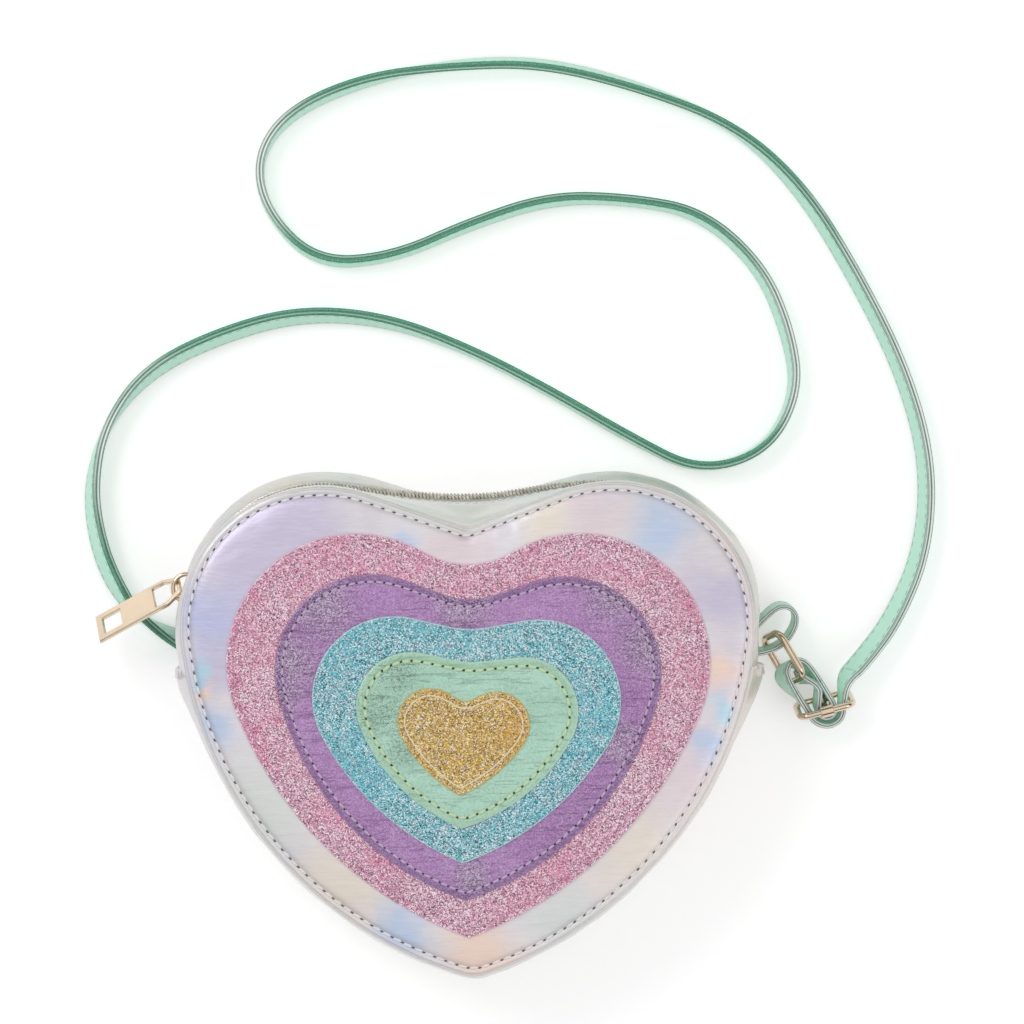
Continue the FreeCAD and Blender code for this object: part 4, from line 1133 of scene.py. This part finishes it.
def layer_look(shade):
    """The slot of a heart layer and its finish."""
    ground = tuple(getattr(colours(), shade))
    if shade in GLITTERS:
        slot, make, tints, rest = shade + "_glitter", glitter_finish, GLITTERS[shade], ()
    else:
        slot, make, tints, rest = shade + "_leather", creased_finish, LEATHERS[shade][:3], LEATHERS[shade][3:]
    return slot, kept(slot, make, ground, *(paint(*tint) for tint in tints), *rest)


class PURSE_OT_layers(bpy.types.Operator):
    """Five heart layers sewn on each other: glitter, leather, glitter, leather, glitter"""

    bl_idname = "purse.layers"
    bl_label = "Heart layers"

    def execute(self, context):
        s = sizes()
        crown = Crown()
        for rank, (shade, heart) in enumerate(LAYERS.items()):
            below = rank * s.layer
            name = shade + "_heart"

            def top(place, below=below):
                return crown.height(place) + below + s.layer

            bm = bmesh.new()
            rim, edge = (bm.verts.layers.float.new(key) for key in ("rim", "edge"))
            foot = heart.loop(bm, 0.0)
            rings = [foot] + [heart.loop(bm, -inset * MM) for inset, _ in LAYER_EDGE]
            drops = {}
            for ring, (inset, drop) in zip(rings, ((0, 0), *LAYER_EDGE)):
                drops.update((vert, drop * MM) for vert in ring)
                for vert in ring:
                    vert[rim] = 1 - smooth(inset, 1.5, 2.3)
                    vert[edge] = 1 - smooth(inset, 0.1, 0.5)
            feet = set(foot)
            bridge(bm, rings)
            fill_inwards(bm, rings[-1], heart.place @ Vector((0, 2 * MM, 0)), LAYER_SHARES)
            for vert in bm.verts:
                if vert in feet:
                    vert.co.z = crown.height(vert.co) + below - 0.1 * MM
                else:
                    pucker = 0.12 * MM * noise.noise(Vector((vert.co.x * 160, vert.co.y * 160, rank * 7.3)))
                    vert.co.z = top(vert.co) + drops.get(vert, 0.05 * MM) + pucker
            slot, look = layer_look(shade)
            on_bag(piece(name + "_patch", bm, look), slot, name)
            if shade in THREADS:
                tint, hole_shade, thickness, pitch, reach, pit, further = THREADS[shade]
                stitches = sew(
                    name + "_stitches", heart.line(-s.layer_row - further * MM),
                    lambda place: top(place) - 0.14 * MM, sewing(name + "_thread", *tint),
                    needle_hole(name + "_hole", *hole_shade), pitch * MM, thickness * MM, reach, pit,
                )
                on_bag(stitches, slot)
        return {"FINISHED"}


# Gusset

# How far the side settles towards the bag's top, by level above the floor, mm: the purse lies on its back, so
# the zip turns up a little and shows its teeth.
SETTLE = (
    (0, 0), (1.2, 0), (10, 2.0), (19.7, 1.5), (24.1, 1.15), (26.6, 0.3), (30.9, -1.0), (40, -1.3), (48.8, 0),
    (60, 0),
)
# How far the side swells out at the side seams, mm, on the left and on the right, and how far north that is.
LEFT_SWELL, RIGHT_SWELL, SWELL_AT = 1.2, 1.7, 15
# The gusset's strips: low and high level, then at three levels the offset from the panel's edge, the slope
# beside the notch and the notch's radius.
STRIPS = {
    "front_strip": ((30.9, 48.8), (0.2, 1.8, 0.0), (8.5, 14, 20.2), (110, 30, 2)),
    "rear_strip": ((1.2, 19.7), (0.0, 3.2, 0.2), (20.2, 14, 8.5), (2, 30, 110)),
    "lower_strip": ((1.2, 48.8), (0.0, 2.6, 0.0), (14, 14, 14), (30, 30, 30)),
}
STRIP_STEPS = 12
GUSSET_WALL = 0.8 * MM
# The stitches by the zip: pitch, how far they stand out, and half their length, width and height.
STRIP_PITCH, STRIP_PROUD = 2.7 * MM, 0.08 * MM
STRIP_BEAD = (1.0 * MM, 0.26 * MM, 0.3 * MM, 1)
# How far north the bag's middle is, from which wrinkles and stitches point outwards.
BAG_MIDDLE = 5 * MM
# The bound ends of the side seams: which side, how far north of the solid and how far proud of the skin, mm.
BINDINGS = {"left": (-1, 2.6, 1.0), "right": (1, 0.4, 0.7)}
# How far out the skin is at a seam's ends, how much further halfway up, and how round a bound end is.
BINDING_SKIN, BINDING_BELLY, BINDING_ROUND = 88.7 * MM, 2.6 * MM, 0.9 * MM


def through(first, middle, last, share):
    """A soft curve through three values."""
    early, late = share - 0.5, share - 1
    return first * 2 * early * late - middle * 4 * share * late + last * 2 * share * early


def arch(level, low, span):
    """1 halfway up a span of levels, 0 at both its ends."""
    return math.sin(math.pi * min(1.0, max(0.0, (level - low) / span)))


def settled(place, swell=1.0):
    """Where a point of the soft side comes to rest; the zip, where the slider runs, has no left swell."""
    x, y, z = (v / MM for v in place)
    level = next(k for k in range(1, len(SETTLE)) if z <= SETTLE[k][0])
    (low, first), (high, last) = SETTLE[level - 1], SETTLE[level]
    north = first + (last - first) * smooth(z, low, high)
    by_zip = smooth(z, 4, 18) * (1 - smooth(z, 27, 40))
    north += (0.8 * smooth(x, -38, -5) - 1.9 * smooth(x, 26, 52)) * by_zip
    north -= 2.0 * arch(z, 1.2, 23) * smooth(x, -35, -5) * (1 - 0.5 * smooth(x, 20, 45))
    seam = hump(y, SWELL_AT, 15) * (RIGHT_SWELL if x > 0 else LEFT_SWELL * swell)
    shoulder = hump(y, 46, 17) * smooth(x, 40, 75) * 1.7
    out = math.copysign(arch(z, 1.2, 47.6) * (seam - shoulder), x)
    return Vector((x + out, y + north * smooth(y, 38, 60), z)) * MM


def side_heart(slope, notch):
    return HeartShape(*BAG_SIZES, slope, notch)


def strip_outline(name, share):
    """A strip's heart, how far it stands off the panel's edge, and its level, a share of the way up."""
    (low, high), offsets, slopes, notches = STRIPS[name]
    notch = math.exp(through(*(math.log(n) for n in notches), share))
    heart = side_heart(through(*slopes, share), notch)
    return heart, through(*offsets, share) * MM, (low + (high - low) * share) * MM


def rippled(place, share):
    """A place on a strip, moved by the strip's soft wrinkles, which die out at both its edges."""
    much = math.sin(share * math.pi) ** 0.7 if 0 < share < 1 else 0.0
    wave = noise.noise(Vector((place.x * 62, place.y * 62, place.z * 30)))
    wave += 0.5 * noise.noise(Vector((place.x * 150, place.y * 150, place.z * 55 + 4)))
    outwards = Vector((place.x, place.y - BAG_MIDDLE, 0)).normalized()
    return settled(place + outwards * wave * much * sizes().ripple)


def gusset_strip(name, node, upper):
    """A lofted strip of gusset between two levels, with soft wrinkles, cut at the side seams."""
    bm = bmesh.new()
    rings, shares = [], {}
    for step in range(STRIP_STEPS + 1):
        share = step / STRIP_STEPS
        heart, offset, level = strip_outline(name, share)
        rings.append(heart.loop(bm, offset, level))
        shares.update((vert, share) for vert in rings[-1])
    bridge(bm, rings)
    for vert, share in shares.items():
        vert.co = rippled(vert.co, share)
        if not upper:
            swell = math.copysign(RIGHT_SWELL if vert.co.x > 0 else LEFT_SWELL, vert.co.x)
            vert.co.x += swell * MM * hump(vert.co.y / MM, SWELL_AT, 10) * math.sin(math.pi * share)
    cut_across(bm, SIDE_SEAM, upper)
    made = piece(name, bm, kept("holographic_gusset", foil_finish, tuple(colours().gusset)))
    thicken(made, GUSSET_WALL)
    on_bag(made, "holographic_gusset", node)


def strip_stitches(name, strip, share):
    """The row of stitches that holds a strip's folded edge on the zip's tape."""
    bm = bmesh.new()
    bead = Stamp(8, 5)
    heart, offset, level = strip_outline(strip, share)
    for place, along in walk(upper_line(heart, offset), STRIP_PITCH, closed=False):
        stand = rippled(place + UP * level, share)
        out = along.cross(UP)
        out = out if out.dot(place - Vector((0, BAG_MIDDLE, 0))) > 0 else -out
        lie = turned(stand + out * STRIP_PROUD, along) @ Matrix.Diagonal(STRIP_BEAD)
        bead.set_down(bm, lie @ QUARTER_TURN)
    on_bag(piece(name, bm, sewing()), "holographic_gusset")


def upper_line(heart, offset):
    """The part of a heart's outline above the side seams, from seam to seam."""
    line = [p for p in heart.line(offset) if p.y > SIDE_SEAM]
    first = min(range(len(line)), key=lambda n: (line[n] - line[n - 1]).length < 20 * MM)
    return line[first:] + line[:first]


class PURSE_OT_gusset(bpy.types.Operator):
    """Gusset strips round the side, and the bound ends of the side seams"""

    bl_idname = "purse.gusset"
    bl_label = "Gusset"

    def execute(self, context):
        gusset_strip("front_strip", "front_zip_gusset", True)
        gusset_strip("rear_strip", "rear_zip_gusset", True)
        gusset_strip("lower_strip", "lower_gusset", False)
        strip_stitches("front_strip_stitches", "front_strip", 0.13)
        for name, (side, lift, proud) in BINDINGS.items():
            node = name + "_seam_tab"
            low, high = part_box(node)
            bm = bmesh.new()
            bmesh.ops.create_cube(bm, size=1)
            bmesh.ops.scale(bm, vec=high - low, verts=bm.verts[:])
            bmesh.ops.translate(bm, vec=(low + high) / 2, verts=bm.verts[:])
            bmesh.ops.bevel(
                bm, geom=bm.edges[:], offset=BINDING_ROUND, offset_type="OFFSET", affect="EDGES",
                segments=3, profile=0.5, material=-1,
            )
            long_edges = [e for e in bm.edges if abs(e.verts[0].co.z - e.verts[1].co.z) > 10 * MM]
            bmesh.ops.subdivide_edges(bm, edges=long_edges, cuts=14, use_grid_fill=True)
            outer = max(abs(low.x), abs(high.x))
            for vert in bm.verts:
                share = (vert.co.z - BACK_SEAM) / (FRONT_SEAM - BACK_SEAM)
                sag = 0.25 * MM * noise.noise(Vector((vert.co.y * 300, vert.co.z * 160, side)))
                skin = BINDING_SKIN + BINDING_BELLY * 4 * share * (1 - share) + proud * MM - 0.3 * MM
                depth = outer - abs(vert.co.x)
                place = Vector((side * (skin - depth + sag), vert.co.y + sag + lift * MM, vert.co.z))
                vert.co = settled(place)
            made = piece(name + "_binding", bm, kept("seam_binding", foil_finish, paint(228, 208, 190)))
            on_bag(made, "holographic_gusset", node)
        return {"FINISHED"}


# Zip

ZIP_HEART = side_heart(8.5, 110)
# The tape's thickness, its threads in radians a metre, and how far it runs past the side seams.
TAPE_WALL, TAPE_THREADS, TAPE_HEM = 0.45 * MM, 5200, 1.5 * MM
# Levels of the tapes' rings, mm; level of the teeth, mm, and how far they are moved along, in pitches.
TAPES = {"front": (31.6, 30.0, 28.4, 26.8, 25.7), "rear": (24.9, 23.8, 22.2, 20.6, 19.0)}
TEETH = {"front": (26.45, 0.0), "rear": (24.15, 0.5)}
# Half a tooth along the zip, across it and up, and the slant at which the teeth stand.
TOOTH = (0.5 * MM, 1.08 * MM, 1.35 * MM, 1)
TOOTH_SLANT = 28


class PURSE_OT_zip(bpy.types.Operator):
    """Woven tapes and the two rows of nylon teeth"""

    bl_idname = "purse.zip"
    bl_label = "Zip"

    def execute(self, context):
        s, c = sizes(), colours()
        tape = kept("zip_tape", woven_finish, tuple(c.tape), TAPE_THREADS)
        nylon = kept("zip_coil", nylon_finish, tuple(c.coil))
        for side, levels in TAPES.items():
            bm = bmesh.new()
            bridge(bm, [ZIP_HEART.loop(bm, -TAPE_WALL, level * MM) for level in levels])
            for vert in bm.verts:
                vert.co = settled(vert.co, swell=0.0)
            cut_across(bm, SIDE_SEAM - TAPE_HEM, True)
            made = piece(side + "_tape", bm, tape)
            thicken(made, TAPE_WALL)
            on_bag(made, "zip_tape", side + "_zip_tape")
        line = upper_line(ZIP_HEART, -0.3 * MM)
        for side, (level, shift) in TEETH.items():
            bm = bmesh.new()
            tooth = Stamp(8, 6)
            for place, along in walk(line, s.tooth_pitch, closed=False):
                stand = settled(place + along * s.tooth_pitch * shift + UP * level * MM, swell=0.0)
                lie = turned(stand, along) @ Matrix.Rotation(math.radians(TOOTH_SLANT), 4, "Z")
                tooth.set_down(bm, lie @ Matrix.Diagonal(TOOTH))
            on_bag(piece(side + "_teeth", bm, nylon), "zip_coil", side + "_zip_coil")
        return {"FINISHED"}


# Metal and insides

# The lining's threads, in radians a metre.
LINING_THREADS = 7000


class PURSE_OT_fittings(bpy.types.Operator):
    """Plating on the metal parts, cloth on the lining and the foam behind the panels"""

    bl_idname = "purse.fittings"
    bl_label = "Metal and insides"

    def execute(self, context):
        c = colours()
        metal = kept("pale_gold_metal", metal_finish, tuple(c.metal))
        lining = kept("lining", woven_finish, tuple(c.lining), LINING_THREADS)
        foam = kept("foam", foam_finish, tuple(c.foam))
        dressed = {
            metal: ("zip_slider", "zip_pull", "strap_ring", "adjuster_frame", "adjuster_bar", "left_zip_stop",
                    "right_zip_stop"),
            lining: ("front_lining", "back_lining", "lower_lining", "front_zip_lining", "rear_zip_lining"),
            foam: ("front_foam", "back_foam"),
        }
        for material, nodes in dressed.items():
            for node in nodes:
                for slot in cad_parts[node].material_slots:
                    slot.material = material
        return {"FINISHED"}


# Add-on


class PURSE_PT_panel(bpy.types.Panel):
    """Sizes, colours and steps of the purse"""

    bl_idname = "PURSE_PT_panel"
    bl_label = "Heart shaped purse"
    bl_space_type = "VIEW_3D"
    bl_region_type = "UI"
    bl_category = "Purse"

    def draw(self, context):
        for step in STEPS:
            self.layout.operator(step.bl_idname)
        for group in (context.scene.purse_sizes, context.scene.purse_colours):
            for name in group.__annotations__:
                self.layout.prop(group, name)


STEPS = (
    PURSE_OT_stage, PURSE_OT_strap, PURSE_OT_panels, PURSE_OT_layers, PURSE_OT_gusset, PURSE_OT_zip,
    PURSE_OT_fittings,
)
CLASSES = (PurseSizes, PurseColours, *STEPS, PURSE_PT_panel)


def register():
    for made in CLASSES:
        bpy.utils.register_class(made)
    bpy.types.Scene.purse_sizes = PointerProperty(type=PurseSizes)
    bpy.types.Scene.purse_colours = PointerProperty(type=PurseColours)


def unregister():
    del bpy.types.Scene.purse_colours
    del bpy.types.Scene.purse_sizes
    for made in reversed(CLASSES):
        bpy.utils.unregister_class(made)


def main():
    register()
    bpy.ops.purse.stage()
    bpy.ops.purse.strap()
    bpy.ops.purse.panels()
    bpy.ops.purse.layers()
    bpy.ops.purse.gusset()
    bpy.ops.purse.zip()
    bpy.ops.purse.fittings()


if __name__ == "__main__":
    main()
